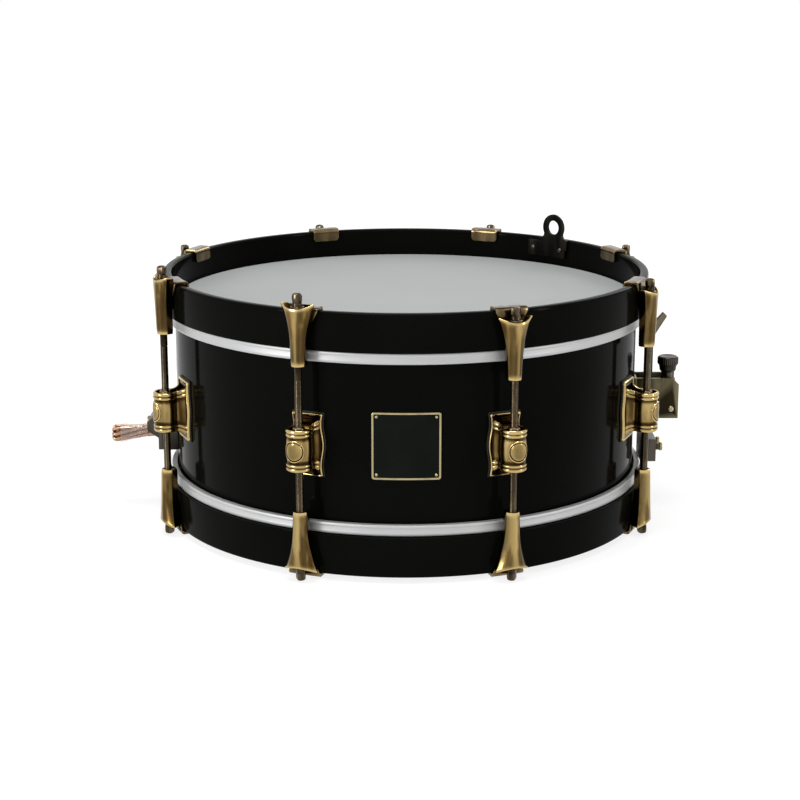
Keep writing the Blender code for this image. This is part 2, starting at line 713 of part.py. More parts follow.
def make_strainer_carriage(finish):
    """A block that slides between the cheeks, with a leg down to the strand clamp."""
    side = CHEEK_INSIDE - GAP
    low = CARRIAGE_BOTTOM
    block = box("block", (CARRIAGE_BACK, -side, low), (CARRIAGE_REACH, side, CARRIAGE_TOP))
    overlap = 0.3 * CARRIAGE_HEIGHT
    leg_low = (CARRIAGE_BACK, -0.8 * side, FOOT_TOP - overlap)
    leg = box("leg", leg_low, (FOOT_OUT, 0.8 * side, low + overlap))
    foot = box("foot", (CARRIAGE_BACK, -FOOT_HALF, FOOT_BOTTOM), (FOOT_OUT, FOOT_HALF, FOOT_TOP))
    boss_span = (low + overlap, KNOB_BASE - GAP)
    boss = turned_solid("boss", [(KNOB_BOSS_RADIUS, z) for z in boss_span], BARREL_SIDES)
    hole_radius = (KNOB_SCREW_RADIUS + RUNNING_GAP) / cos(pi / BORE_SIDES)
    span = (low - CARRIAGE_HEIGHT, KNOB_BASE + CARRIAGE_HEIGHT)
    hole = turned_solid("hole", [(hole_radius, z) for z in span], BORE_SIDES)
    added = [leg, foot, moved(boss, KNOB_X, 0, 0)]
    mesh = combine("strainer_carriage", block, added=added, removed=[moved(hole, KNOB_X, 0, 0)])
    place("strainer_carriage", mesh, finish)


def make_strainer_knob(finish):
    """A knurled knob that tapers downward, in one piece with its screw."""
    end = CARRIAGE_BOTTOM - KNOB_BASE
    profile = [
        (KNOB_SCREW_RADIUS, end),
        (KNOB_SCREW_RADIUS, 0),
        (KNOB_NECK, 0),
        (0.92 * KNOB_RADIUS, 0.35 * KNOB_HEIGHT),
        (KNOB_RADIUS, 0.55 * KNOB_HEIGHT),
        (KNOB_RADIUS, 0.93 * KNOB_HEIGHT),
        (0.93 * KNOB_RADIUS, KNOB_HEIGHT),
    ]
    place("strainer_knob", turned_solid("strainer_knob", profile, KNOB_SIDES), finish, (KNOB_X, 0, KNOB_BASE))


def screw_head(x, y, z, proud):
    """A cheese-head screw that stands out along +X from x and reaches back into its plate."""
    span = (-proud, proud)
    return along_x(turned_solid("screw", [(CLAMP_SCREW_RADIUS, s) for s in span], BORE_SIDES), x, y, z)


def make_strainer_clamp_bar(finish):
    inside = STRAND_OUT + GAP
    outside = inside + CLAMP_THICK
    bar = box("bar", (inside, -FOOT_HALF, FOOT_BOTTOM), (outside, FOOT_HALF, CLAMP_TOP))
    heads = []
    for side in (-1, 1):
        y = side * CLAMP_SCREW_SPREAD
        heads.append(screw_head(outside, y, CLAMP_TOP - CLAMP_SCREW_DROP, CLAMP_SCREW_PROUD))
    place("strainer_clamp_bar", combine("strainer_clamp_bar", bar, added=heads), finish)


# ---- Butt clamp and snare strands -----------------------------------------------------------
def make_butt_base(finish):
    rows = [(z, BUTT_HALF, SHELL_RADIUS + GAP, FOOT_OUT) for z in (BUTT_BOTTOM, BUTT_TOP)]
    place("butt_base", curved_panel("butt_base", rows, 4), finish, turn=pi)


def make_butt_clamp_bar(finish):
    """The outer bar of the butt clamp, with an outlet hole for the tied strand ends."""
    inside = STRAND_OUT + GAP
    bar = box("bar", (inside, -BUTT_HALF, BUTT_BOTTOM), (BUTT_FACE, BUTT_HALF, BUTT_TOP))
    radius = (TAIL_RADIUS + GAP) / cos(pi / TAIL_SIDES)
    outlet_span = (-BUTT_BAR_THICK, 2 * BUTT_BAR_THICK)
    outlet = turned_solid("outlet", [(radius, z) for z in outlet_span], TAIL_SIDES)
    outlet = along_x(outlet, inside, 0, BUTT_TOP - TAIL_DROP)
    span = (-BUTT_SCREW_PROUD, BUTT_SCREW_PROUD)
    screw = turned_solid("screw", [(BUTT_SCREW_RADIUS, s) for s in span], BORE_SIDES)
    screw = along_x(screw, BUTT_FACE, 0, BUTT_TOP - BUTT_SCREW_DROP)
    mesh = combine("butt_clamp_bar", bar, added=[screw], removed=[outlet])
    place("butt_clamp_bar", mesh, finish, turn=pi)


def strand_route():
    """Centre line (x, z) from the strainer clamp, under the snare head, to the butt clamp."""
    centre_x = STRAND_RUN_X - STRAND_BEND
    centre_z = STRAND_LEVEL + STRAND_BEND
    bend = []
    for k in range(5):
        angle = -pi / 2 * k / 4
        bend.append((centre_x + STRAND_BEND * cos(angle), centre_z + STRAND_BEND * sin(angle)))
    right = [(STRAND_RUN_X, CLAMP_TOP)] + bend
    left = [(-x, z) for x, z in reversed(bend)] + [(-STRAND_RUN_X, BUTT_TOP)]
    return right + left


def make_snare_strands(finish):
    """The band of strands as one solid, with the tied tails that leave the butt clamp."""
    route = strand_route()
    rings = []
    for k, (x, z) in enumerate(route):
        before = route[max(k - 1, 0)]
        after = route[min(k + 1, len(route) - 1)]
        run = ((after[0] - before[0]) ** 2 + (after[1] - before[1]) ** 2) ** 0.5
        side_x = -(after[1] - before[1]) / run * STRAND_THICK / 2
        side_z = (after[0] - before[0]) / run * STRAND_THICK / 2
        rings.append([
            (x - side_x, -STRAND_BAND_HALF, z - side_z),
            (x - side_x, STRAND_BAND_HALF, z - side_z),
            (x + side_x, STRAND_BAND_HALF, z + side_z),
            (x + side_x, -STRAND_BAND_HALF, z + side_z),
        ])
    band = loft("band", rings)
    profile = [
        (TAIL_RADIUS, STRAND_RUN_X),
        (TAIL_RADIUS, BUTT_FACE),
        (0.5 * (TAIL_RADIUS + TAIL_END_RADIUS), 0.5 * (BUTT_FACE + TAIL_REACH)),
        (TAIL_END_RADIUS, TAIL_REACH - 0.4 * TAIL_END_RADIUS),
        (0.7 * TAIL_END_RADIUS, TAIL_REACH),
    ]
    tail = along_x(turned_solid("tail", profile, TAIL_SIDES), 0, 0, BUTT_TOP - TAIL_DROP)
    tail.transform(Matrix.Rotation(pi, 4, "Z"))
    place("snare_strands", combine("snare_strands", band, added=[tail]), finish)


# ---- Assembly -------------------------------------------------------------------------------
def main():
    clear_scene()
    looks = finishes()
    make_shell(looks["lacquer"])
    make_vent_grommet(looks["brass"])
    make_badge(looks["brass"])
    make_head("batter_head", looks["batter_film"], 0.0, 1, BATTER_FILM)
    make_head("snare_head", looks["snare_film"], SNARE_PLANE, -1, SNARE_FILM)
    make_flesh_hoop("batter_flesh_hoop", looks["aluminium"], 0.0, 1, BATTER_HOOP_HEIGHT)
    make_flesh_hoop("snare_flesh_hoop", looks["aluminium"], SNARE_PLANE, -1, SNARE_HOOP_HEIGHT)
    make_counterhoop("batter_counterhoop", looks["lacquer"], 0.0, 1, BATTER_HOOP_HEIGHT, False)
    make_counterhoop("snare_counterhoop", looks["lacquer"], SNARE_PLANE, -1, SNARE_HOOP_HEIGHT, True)
    make_stations(looks)
    make_strap_eye(looks["black_steel"])
    make_strainer_base(looks["olive_brass"])
    make_strainer_lever(looks["black_steel"])
    make_strainer_pivot(looks["bronze"])
    make_strainer_carriage(looks["black_steel"])
    make_strainer_knob(looks["black_steel"])
    make_strainer_clamp_bar(looks["black_steel"])
    make_butt_base(looks["black_steel"])
    make_butt_clamp_bar(looks["black_steel"])
    make_snare_strands(looks["strand"])


main()
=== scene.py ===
"""Looks of the snare drum, in metres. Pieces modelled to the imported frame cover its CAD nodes,
except six strainer and butt nodes, which keep their shape and only take a finish.

The batter head's centre is the origin and +Z points up out of it. The badge faces -Y,
the strainer sits at +X and the butt clamp at -X.
"""
from math import atan2, cos, exp, hypot, pi, radians, sin, sqrt

import bmesh
import bpy
from mathutils import Matrix, Vector


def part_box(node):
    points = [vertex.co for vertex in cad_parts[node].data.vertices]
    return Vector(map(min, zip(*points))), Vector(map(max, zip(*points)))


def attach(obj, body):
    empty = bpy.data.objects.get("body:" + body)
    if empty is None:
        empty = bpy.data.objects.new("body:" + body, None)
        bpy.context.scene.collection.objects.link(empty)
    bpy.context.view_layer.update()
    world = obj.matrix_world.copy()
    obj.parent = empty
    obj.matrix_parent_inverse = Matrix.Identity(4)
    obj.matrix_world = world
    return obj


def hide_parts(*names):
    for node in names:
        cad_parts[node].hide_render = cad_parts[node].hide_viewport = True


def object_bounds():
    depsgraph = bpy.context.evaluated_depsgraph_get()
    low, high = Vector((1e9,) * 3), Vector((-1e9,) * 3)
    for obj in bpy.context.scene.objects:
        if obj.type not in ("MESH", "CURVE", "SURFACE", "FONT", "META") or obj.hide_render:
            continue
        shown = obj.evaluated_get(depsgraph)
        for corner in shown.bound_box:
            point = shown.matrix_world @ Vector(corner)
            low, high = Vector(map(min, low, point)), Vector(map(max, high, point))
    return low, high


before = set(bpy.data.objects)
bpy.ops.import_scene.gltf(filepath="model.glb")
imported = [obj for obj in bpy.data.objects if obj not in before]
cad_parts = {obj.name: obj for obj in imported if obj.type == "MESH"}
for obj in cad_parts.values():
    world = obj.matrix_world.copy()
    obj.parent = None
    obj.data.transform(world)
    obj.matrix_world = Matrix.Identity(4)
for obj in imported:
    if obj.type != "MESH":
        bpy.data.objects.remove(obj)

CAD_LOW, CAD_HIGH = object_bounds()
MM = 0.001


# ---- Sizes read from the frame --------------------------------------------------------------
def ring_of(node):
    """Inner and outer radius about Z, and lowest and highest level, of a ring-shaped node."""
    points = [v.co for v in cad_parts[node].data.vertices]
    reaches = [hypot(p.x, p.y) for p in points]
    levels = [p.z for p in points]
    return min(reaches), max(reaches), min(levels), max(levels)


def middle_of(node):
    low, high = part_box(node)
    return (low + high) / 2


SHELL_IN, SHELL_OUT, SHELL_LOW, SHELL_HIGH = ring_of("shell")
_, COLLAR_OUT, COLLAR_LOW, _ = ring_of("batter_head")
_, SNARE_COLLAR_OUT, SNARE_HEAD_LOW, SNARE_COLLAR_HIGH = ring_of("snare_head")
HOOP_IN, HOOP_OUT, BATTER_HOOP_LOW, BATTER_EDGE = ring_of("batter_counterhoop")
_, _, SNARE_EDGE, SNARE_HOOP_HIGH = ring_of("snare_counterhoop")
_, FLESH_OUT, FLESH_LOW, FLESH_HIGH = ring_of("batter_flesh_hoop")
_, _, SNARE_FLESH_LOW, SNARE_FLESH_HIGH = ring_of("snare_flesh_hoop")
ROD_MIDDLE = middle_of("batter_rod_1")
ROD_CIRCLE = hypot(ROD_MIDDLE.x, ROD_MIDDLE.y)
LUG_Z = middle_of("lug_1").z
STATIONS = range(1, 9)

ROD_HEAD = 11.0 * MM
ROD_RADIUS = 2.75 * MM
SEAM = 0.3 * MM
RING_STEPS = 192


def station_angle(k):
    middle = middle_of(f"batter_rod_{k}")
    return atan2(middle.y, middle.x)


# ---- Camera, light and floor ----------------------------------------------------------------
CAMERA_PLACE = (-0.0044, -1.399, 0.2717)
CAMERA_PITCH = 75.67
LENS = 82.68
FLOOR_DROP = 0.4 * MM
FLOOR_REACH = 6.0
FLOOR_COLOUR = 0.75
FLOOR_CATCH = 0.30
FLOOR_NEAR, FLOOR_FAR = 0.3, 1.6
FLOOR_GLOW_NEAR, FLOOR_GLOW_FAR = 0.82, 0.98
WORLD_SHOWN = 1.0
WORLD_FILL = 0.30
LAMP_AIM = (0, 0, -0.06)
LAMPS = (
    ("key_softbox", (-1.20, -1.05, 0.30), (0.40, 0.80), 12),
    ("fill_softbox", (1.35, -0.75, 0.30), (0.16, 0.80), 4),
    ("top_softbox", (-0.1, -0.25, 1.50), (0.9, 0.5), 15),
    ("rim_softbox", (0.9, 1.3, 0.9), (0.6, 0.6), 5),
)


def make_camera():
    data = bpy.data.cameras.new("camera")
    data.lens = LENS
    data.sensor_width = 36
    camera = bpy.data.objects.new("camera", data)
    camera.location = CAMERA_PLACE
    camera.rotation_euler = (radians(CAMERA_PITCH), 0, 0)
    bpy.context.scene.collection.objects.link(camera)
    bpy.context.scene.camera = camera


def add(tree, kind, inputs=(), **settings):
    """A shader node, with its settings, and its inputs as plain values or linked sockets."""
    made = tree.nodes.new(kind)
    for key, value in settings.items():
        setattr(made, key, value)
    for key, value in dict(inputs).items():
        if isinstance(value, bpy.types.NodeSocket):
            tree.links.new(value, made.inputs[key])
        else:
            made.inputs[key].default_value = value
    return made


def maths(tree, operation, first, second):
    return add(tree, "ShaderNodeMath", {0: first, 1: second}, operation=operation).outputs[0]


def ramp(tree, value, from_low, from_high, to_low=0.0, to_high=1.0):
    """A value mapped from one range to another and held at its ends."""
    given = {0: value, 1: from_low, 2: from_high, 3: to_low, 4: to_high}
    return add(tree, "ShaderNodeMapRange", given).outputs[0]


def colour_mix(tree, factor, first, second):
    given = {0: factor, 6: first, 7: second}
    return add(tree, "ShaderNodeMix", given, data_type="RGBA").outputs[2]


def place_on(tree, stretch=None):
    """The object's own coordinates, drawn out along an axis where a grain runs that way."""
    spot = add(tree, "ShaderNodeTexCoord").outputs["Object"]
    if stretch is None:
        return spot
    return add(tree, "ShaderNodeMapping", {"Vector": spot, "Scale": stretch}).outputs[0]


def noise(tree, spot, scale, detail, **more):
    given = {"Vector": spot, "Scale": scale, "Detail": detail, **more}
    return add(tree, "ShaderNodeTexNoise", given).outputs["Fac"]


def shows_background(tree):
    """1 for camera, transmission and glossy rays, which all see the same pale background."""
    path = add(tree, "ShaderNodeLightPath").outputs
    seen = maths(tree, "MAXIMUM", path["Is Camera Ray"], path["Is Transmission Ray"])
    return maths(tree, "MAXIMUM", seen, path["Is Glossy Ray"])


def area_lamp(name, place, size, power):
    """A soft rectangular lamp aimed at the drum."""
    data = bpy.data.lights.new(name, "AREA")
    data.shape = "RECTANGLE"
    data.size, data.size_y = size
    data.energy = power
    lamp = bpy.data.objects.new(name, data)
    lamp.location = place
    lamp.rotation_euler = (Vector(LAMP_AIM) - Vector(place)).to_track_quat("-Z", "Y").to_euler()
    bpy.context.scene.collection.objects.link(lamp)


def make_world():
    """White wherever it is seen, straight on or in metal and gloss, and a plain fill light."""
    world = bpy.data.worlds.new("studio")
    bpy.context.scene.world = world
    world.use_nodes = True
    tree = world.node_tree
    tree.nodes.clear()
    level = add(tree, "ShaderNodeMix", {0: shows_background(tree), 2: WORLD_FILL, 3: WORLD_SHOWN})
    back = add(tree, "ShaderNodeBackground", {"Color": (1, 1, 1, 1), "Strength": level.outputs[0]})
    out = add(tree, "ShaderNodeOutputWorld")
    tree.links.new(back.outputs[0], out.inputs["Surface"])


def make_floor(level):
    """A wide pale floor that keeps the soft shadow under the drum and is clear from below."""
    mesh = bpy.data.meshes.new("floor")
    corners = [(x * FLOOR_REACH, y * FLOOR_REACH, 0) for x, y in ((-1, -1), (1, -1), (1, 1), (-1, 1))]
    mesh.from_pydata(corners, [], [(0, 1, 2, 3)])
    floor = bpy.data.objects.new("floor", mesh)
    floor.location.z = level
    bpy.context.scene.collection.objects.link(floor)
    made = bpy.data.materials.new("pale_floor")
    made.use_nodes = True
    tree = made.node_tree
    tree.nodes.clear()
    plain = add(tree, "ShaderNodeBsdfDiffuse", {"Color": (FLOOR_COLOUR, FLOOR_COLOUR, FLOOR_COLOUR, 1)})
    catch = add(tree, "ShaderNodeBsdfDiffuse", {"Color": (FLOOR_CATCH, FLOOR_CATCH, FLOOR_CATCH, 1)})
    far = add(tree, "ShaderNodeVectorMath", {0: place_on(tree)}, operation="LENGTH").outputs["Value"]
    rise = ramp(tree, far, FLOOR_NEAR, FLOOR_FAR, FLOOR_GLOW_NEAR, FLOOR_GLOW_FAR)
    glow = add(tree, "ShaderNodeEmission", {"Color": (1, 1, 1, 1), "Strength": rise})
    bright = add(tree, "ShaderNodeAddShader", {0: catch.outputs[0], 1: glow.outputs[0]})
    above = add(tree, "ShaderNodeMixShader",
                {0: shows_background(tree), 1: plain.outputs[0], 2: bright.outputs[0]})
    under = add(tree, "ShaderNodeNewGeometry").outputs["Backfacing"]
    clear = add(tree, "ShaderNodeBsdfTransparent")
    both = add(tree, "ShaderNodeMixShader", {0: under, 1: above.outputs[0], 2: clear.outputs[0]})
    out = add(tree, "ShaderNodeOutputMaterial")
    tree.links.new(both.outputs[0], out.inputs["Surface"])
    mesh.materials.append(made)


# ---- Shared effects -------------------------------------------------------------------------
FINE_GRAIN = 900.0


def new_group(name, inputs, outputs):
    """A node group with named sockets. An input is (name, kind, value), an output (name, kind)."""
    group = bpy.data.node_groups.new(name, "ShaderNodeTree")
    for label, kind, value in inputs:
        socket = group.interface.new_socket(label, in_out="INPUT", socket_type=f"NodeSocket{kind}")
        socket.default_value = value
    for label, kind in outputs:
        group.interface.new_socket(label, in_out="OUTPUT", socket_type=f"NodeSocket{kind}")
    return group, add(group, "NodeGroupInput").outputs, add(group, "NodeGroupOutput")


def patina_group():
    """Aged metal: dark blotches and bright glints, patina in hollows, bright worn edges, and painted
    highlights and shade.
    """
    black = (0, 0, 0, 1)
    group, given, out = new_group(
        "patina",
        [("Metal", "Color", black), ("Bright", "Color", black), ("Dark", "Color", black),
         ("Blotch Scale", "Float", 90.0), ("Edge Wear", "Float", 1.0), ("Roughness", "Float", 0.3),
         ("Wear And Painted Light", "Float", 0.0)],
        [("Color", "Color"), ("Roughness", "Float"), ("Height", "Float")],
    )
    drawn = place_on(group, (1.0, 1.0, 0.22))
    blotch = noise(group, drawn, given["Blotch Scale"], 3.0, Roughness=0.5)
    fine = noise(group, drawn, FINE_GRAIN, 1.0)
    bend = add(group, "ShaderNodeNewGeometry").outputs["Pointiness"]
    # The mark above 0 is bright wear and painted highlight. Below 0 it is painted shade and dark patina,
    # and it also dims the worn edges.
    wear_and_painted_highlight = ramp(group, given["Wear And Painted Light"], 0.0, 1.0)
    shaded = ramp(group, given["Wear And Painted Light"], 0.0, -1.0)
    edge = ramp(group, bend, 0.505, 0.56)
    edge = maths(group, "MULTIPLY", edge, maths(group, "SUBTRACT", given["Edge Wear"], shaded))
    edge = maths(group, "MAXIMUM", edge, wear_and_painted_highlight)
    # Dark patina where the mesh is concave, deepened by the painted shade of the mark.
    hollow = maths(group, "MAXIMUM", ramp(group, bend, 0.495, 0.44), shaded)
    stain = ramp(group, blotch, 0.46, 0.64, 0.0, 0.75)
    glint = ramp(group, blotch, 0.50, 0.36, 0.0, 0.50)
    colour = given["Metal"]
    for amount, tone in ((stain, "Dark"), (glint, "Bright"), (hollow, "Dark"), (edge, "Bright")):
        colour = colour_mix(group, amount, colour, given[tone])
    group.links.new(colour, out.inputs["Color"])
    dull = maths(group, "ADD", maths(group, "MULTIPLY", stain, 0.12), given["Roughness"])
    rough = maths(group, "SUBTRACT", dull, maths(group, "MULTIPLY", edge, 0.06))
    group.links.new(rough, out.inputs["Roughness"])
    relief = maths(group, "ADD", maths(group, "MULTIPLY", fine, 0.3), blotch)
    group.links.new(relief, out.inputs["Height"])
    return group


def handling_group():
    """Faint marks of handling on a smooth finish: a cloudy haze, fine dust and a slow ripple."""
    group, given, out = new_group(
        "handling",
        [("Haze Scale", "Float", 14.0), ("Roughness", "Float", 0.1), ("Spread", "Float", 0.05)],
        [("Haze", "Float"), ("Dust", "Float"), ("Roughness", "Float"), ("Height", "Float")],
    )
    spot = place_on(group)
    haze = noise(group, spot, given["Haze Scale"], 4.0)
    dust = ramp(group, noise(group, spot, FINE_GRAIN, 1.0), 0.66, 0.78)
    ripple = noise(group, spot, 55.0, 1.0)
    spread = maths(group, "MULTIPLY", haze, given["Spread"])
    group.links.new(haze, out.inputs["Haze"])
    group.links.new(dust, out.inputs["Dust"])
    group.links.new(maths(group, "ADD", given["Roughness"], spread), out.inputs["Roughness"])
    group.links.new(ripple, out.inputs["Height"])
    return group


# ---- Finishes -------------------------------------------------------------------------------
def new_finish(name, **plain):
    """A material with plain constants on its shader's own sockets."""
    made = bpy.data.materials.new(name)
    made.use_nodes = True
    shader = made.node_tree.nodes["Principled BSDF"]
    for socket, value in plain.items():
        shader.inputs[socket.replace("_", " ")].default_value = value
    return made, made.node_tree, shader


def bump(tree, shader, height, strength, distance):
    made = add(tree, "ShaderNodeBump", {"Height": height, "Strength": strength, "Distance": distance})
    tree.links.new(made.outputs[0], shader.inputs["Normal"])


def aged_metal(name, group, metal, bright, dark, roughness, wear, scale):
    """A metal with the patina, and the worn places, painted highlights and painted shade marked on its
    mesh.
    """
    made, tree, shader = new_finish(name, Metallic=1.0)
    patina = tree.nodes.new("ShaderNodeGroup")
    patina.node_tree = group
    for socket, value in (("Metal", (*metal, 1)), ("Bright", (*bright, 1)), ("Dark", (*dark, 1)),
                          ("Blotch Scale", scale), ("Edge Wear", wear), ("Roughness", roughness)):
        patina.inputs[socket].default_value = value
    # Each point's mark of wear, painted highlight and painted shade, read from the mesh.
    wear_and_painted_light = add(tree, "ShaderNodeAttribute", attribute_name="wear_and_painted_light")
    tree.links.new(wear_and_painted_light.outputs["Fac"], patina.inputs["Wear And Painted Light"])
    tree.links.new(patina.outputs["Color"], shader.inputs["Base Color"])
    tree.links.new(patina.outputs["Roughness"], shader.inputs["Roughness"])
    bump(tree, shader, patina.outputs["Height"], 0.10, 0.12 * MM)
    return made


def handled(tree, group, scale, roughness, spread):
    made = tree.nodes.new("ShaderNodeGroup")
    made.node_tree = group
    made.inputs["Haze Scale"].default_value = scale
    made.inputs["Roughness"].default_value = roughness
    made.inputs["Spread"].default_value = spread
    return made


def tinted(tree, shader, factor, first, second):
    tree.links.new(colour_mix(tree, factor, (*first, 1), (*second, 1)), shader.inputs["Base Color"])


def lacquer_finish(group):
    """Deep black lacquer with a slow ripple and a few specks of dust."""
    made, tree, shader = new_finish("black_lacquer", IOR=1.46, Specular_IOR_Level=0.02)
    marks = handled(tree, group, 9.0, 0.07, 0.06)
    haze = maths(tree, "ADD", maths(tree, "MULTIPLY", marks.outputs["Haze"], 0.6),
                 maths(tree, "MULTIPLY", marks.outputs["Dust"], 0.5))
    tinted(tree, shader, haze, (0.0018, 0.0019, 0.0015), (0.0072, 0.0078, 0.0066))
    tree.links.new(marks.outputs["Roughness"], shader.inputs["Roughness"])
    bump(tree, shader, marks.outputs["Height"], 0.10, 0.25 * MM)
    return made


def ply_finish():
    """Pale maple ply inside the shell: fine grain that runs round it, with darker figure."""
    made, tree, shader = new_finish("inner_maple_ply", Specular_IOR_Level=0.35)
    grain = noise(tree, place_on(tree, (9, 9, 420)), 1.0, 6.0, Distortion=0.6)
    tinted(tree, shader, grain, (0.62, 0.42, 0.24), (0.36, 0.21, 0.10))
    rough = maths(tree, "ADD", maths(tree, "MULTIPLY", grain, 0.25), 0.35)
    tree.links.new(rough, shader.inputs["Roughness"])
    bump(tree, shader, grain, 0.25, 0.2 * MM)
    return made


def coated_film_finish(group):
    """Sprayed white coating: a fine grain, faintly cloudy from playing at the middle."""
    made, tree, shader = new_finish("coated_film", Specular_IOR_Level=0.10)
    marks = handled(tree, group, 16.0, 0.46, 0.12)
    grain = noise(tree, place_on(tree), 1500.0, 3.0)
    shade = maths(tree, "ADD", maths(tree, "MULTIPLY", marks.outputs["Haze"], 0.75),
                  maths(tree, "MULTIPLY", grain, 0.25))
    tinted(tree, shader, shade, (0.370, 0.391, 0.385), (0.453, 0.465, 0.460))
    tree.links.new(marks.outputs["Roughness"], shader.inputs["Roughness"])
    bump(tree, shader, grain, 0.20, 0.06 * MM)
    return made


def clear_film_finish(group):
    """Hazy clear film for the snare side."""
    made, tree, shader = new_finish("clear_film", IOR=1.30, Metallic=0.0)
    shader.inputs["Transmission Weight"].default_value = 0.85
    marks = handled(tree, group, 20.0, 0.10, 0.16)
    tinted(tree, shader, marks.outputs["Haze"], (0.86, 0.88, 0.88), (0.74, 0.76, 0.76))
    tree.links.new(marks.outputs["Roughness"], shader.inputs["Roughness"])
    bump(tree, shader, marks.outputs["Height"], 0.06, 0.2 * MM)
    return made


def aluminium_finish():
    """Satin aluminium, brushed round the hoop."""
    made, tree, shader = new_finish("satin_aluminium", Metallic=0.50)
    brush = noise(tree, place_on(tree, (14, 14, 3000)), 1.0, 4.0)
    cloud = noise(tree, place_on(tree), 35.0, 3.0)
    shade = maths(tree, "ADD", maths(tree, "MULTIPLY", brush, 0.5), maths(tree, "MULTIPLY", cloud, 0.5))
    tinted(tree, shader, shade, (0.45, 0.46, 0.46), (0.62, 0.62, 0.62))
    rough = maths(tree, "ADD", maths(tree, "MULTIPLY", cloud, 0.16), 0.38)
    tree.links.new(rough, shader.inputs["Roughness"])
    bump(tree, shader, brush, 0.12, 0.05 * MM)
    return made


def enamel_finish(name, group, dark, light, roughness, gloss):
    """A dyed or painted non-metal, rubber or enamel, with a cloudy shade."""
    made, tree, shader = new_finish(name, Specular_IOR_Level=gloss)
    marks = handled(tree, group, 60.0, roughness, 0.15)
    tinted(tree, shader, marks.outputs["Haze"], dark, light)
    tree.links.new(marks.outputs["Roughness"], shader.inputs["Roughness"])
    bump(tree, shader, marks.outputs["Height"], 0.08, 0.2 * MM)
    return made


def sleeve_finish(group):
    """Clear plastic sleeve over the tied strand ends."""
    made, tree, shader = new_finish("clear_sleeve", IOR=1.45, Metallic=0.0)
    shader.inputs["Transmission Weight"].default_value = 0.95
    marks = handled(tree, group, 90.0, 0.03, 0.06)
    tinted(tree, shader, marks.outputs["Haze"], (0.98, 0.96, 0.94), (0.90, 0.86, 0.82))
    tree.links.new(marks.outputs["Roughness"], shader.inputs["Roughness"])
    return made


# Each metal's material, its plain, bright and dark colours, roughness, edge wear and blotch scale. The
# bright and dark colours serve worn edges and patina, and also painted highlights and painted shade.
METALS = {
    "brass": ("antique_brass", (0.140, 0.083, 0.023), (0.58, 0.43, 0.18),
              (0.018, 0.009, 0.003), 0.15, 1.0, 120.0),
    "hook_bronze": ("hook_bronze", (0.048, 0.030, 0.015), (0.30, 0.22, 0.11),
                    (0.012, 0.008, 0.005), 0.17, 1.0, 90.0),
    "rod_bronze": ("rod_bronze", (0.021, 0.015, 0.009), (0.13, 0.10, 0.06),
                   (0.008, 0.006, 0.004), 0.20, 0.6, 160.0),
    "olive_brass": ("olive_brass", (0.022, 0.018, 0.009), (0.28, 0.24, 0.14),
                    (0.014, 0.011, 0.006), 0.36, 1.0, 60.0),
    "dull_brass": ("dull_brass", (0.016, 0.014, 0.009), (0.20, 0.17, 0.11),
                   (0.008, 0.007, 0.004), 0.30, 1.0, 60.0),
    "rivet": ("rivet_brass", (0.36, 0.29, 0.16), (0.58, 0.50, 0.35),
              (0.12, 0.08, 0.04), 0.22, 1.0, 90.0),
    "black_steel": ("black_steel", (0.016, 0.015, 0.013), (0.10, 0.09, 0.07),
                    (0.004, 0.004, 0.003), 0.34, 0.7, 90.0),
    "badge_brass": ("badge_brass", (0.32, 0.26, 0.12), (0.52, 0.45, 0.27),
                    (0.08, 0.055, 0.022), 0.24, 0.6, 90.0),
    "strand": ("bronze_strand", (0.19, 0.088, 0.048), (0.48, 0.29, 0.19),
               (0.07, 0.024, 0.012), 0.24, 0.8, 400.0),
}


def make_finishes():
    patina = patina_group()
    handling = handling_group()
    made = {
        "lacquer": lacquer_finish(handling),
        "ply": ply_finish(),
        "batter_film": coated_film_finish(handling),
        "snare_film": clear_film_finish(handling),
        "aluminium": aluminium_finish(),
        "badge_enamel": enamel_finish("badge_enamel", handling, (0.0015, 0.0025, 0.0015),
                                      (0.006, 0.008, 0.006), 0.14, 0.06),
        "rubber": enamel_finish("gasket_rubber", handling, (0.006, 0.006, 0.006),
                                (0.014, 0.014, 0.013), 0.55, 0.25),
        "sleeve": sleeve_finish(handling),
    }
    for key, (name, *values) in METALS.items():
        made[key] = aged_metal(name, patina, *values)
    return made


# ---- Mesh helpers ---------------------------------------------------------------------------
SHARP = 32.0
BEND_STRIP = 2.0 * MM
EASE_ANGLE = 40.0
EASE_STEPS = 3


def smoothed(mesh, sharp=SHARP):
    """Smooth shading that keeps edges sharper than the angle."""
    mesh.shade_smooth()
    mesh.set_sharp_from_angle(angle=radians(sharp))
    return mesh


def mesh_of(name, points, faces, finish, sharp):
    made = bpy.data.meshes.new(name)
    made.from_pydata(points, [], faces)
    body = bmesh.new()
    body.from_mesh(made)
    bmesh.ops.recalc_face_normals(body, faces=body.faces)
    body.to_mesh(made)
    body.free()
    made.materials.append(finish)
    return smoothed(made, sharp)


def loft_faces(count, levels, closed):
    faces = []
    for level in range(levels if closed else levels - 1):
        here = level * count
        there = ((level + 1) % levels) * count
        for k in range(count):
            after = (k + 1) % count
            faces.append((here + k, here + after, there + after, there + k))
    if not closed:
        faces.append(tuple(range(count)))
        faces.append(tuple(range((levels - 1) * count, levels * count)))
    return faces


def loft(name, rings, finish, closed=False, sharp=SHARP):
    """A solid through rings of equal point counts, capped, or closed into a loop of rings."""
    points = [p for ring in rings for p in ring]
    return mesh_of(name, points, loft_faces(len(rings[0]), len(rings), closed), finish, sharp)


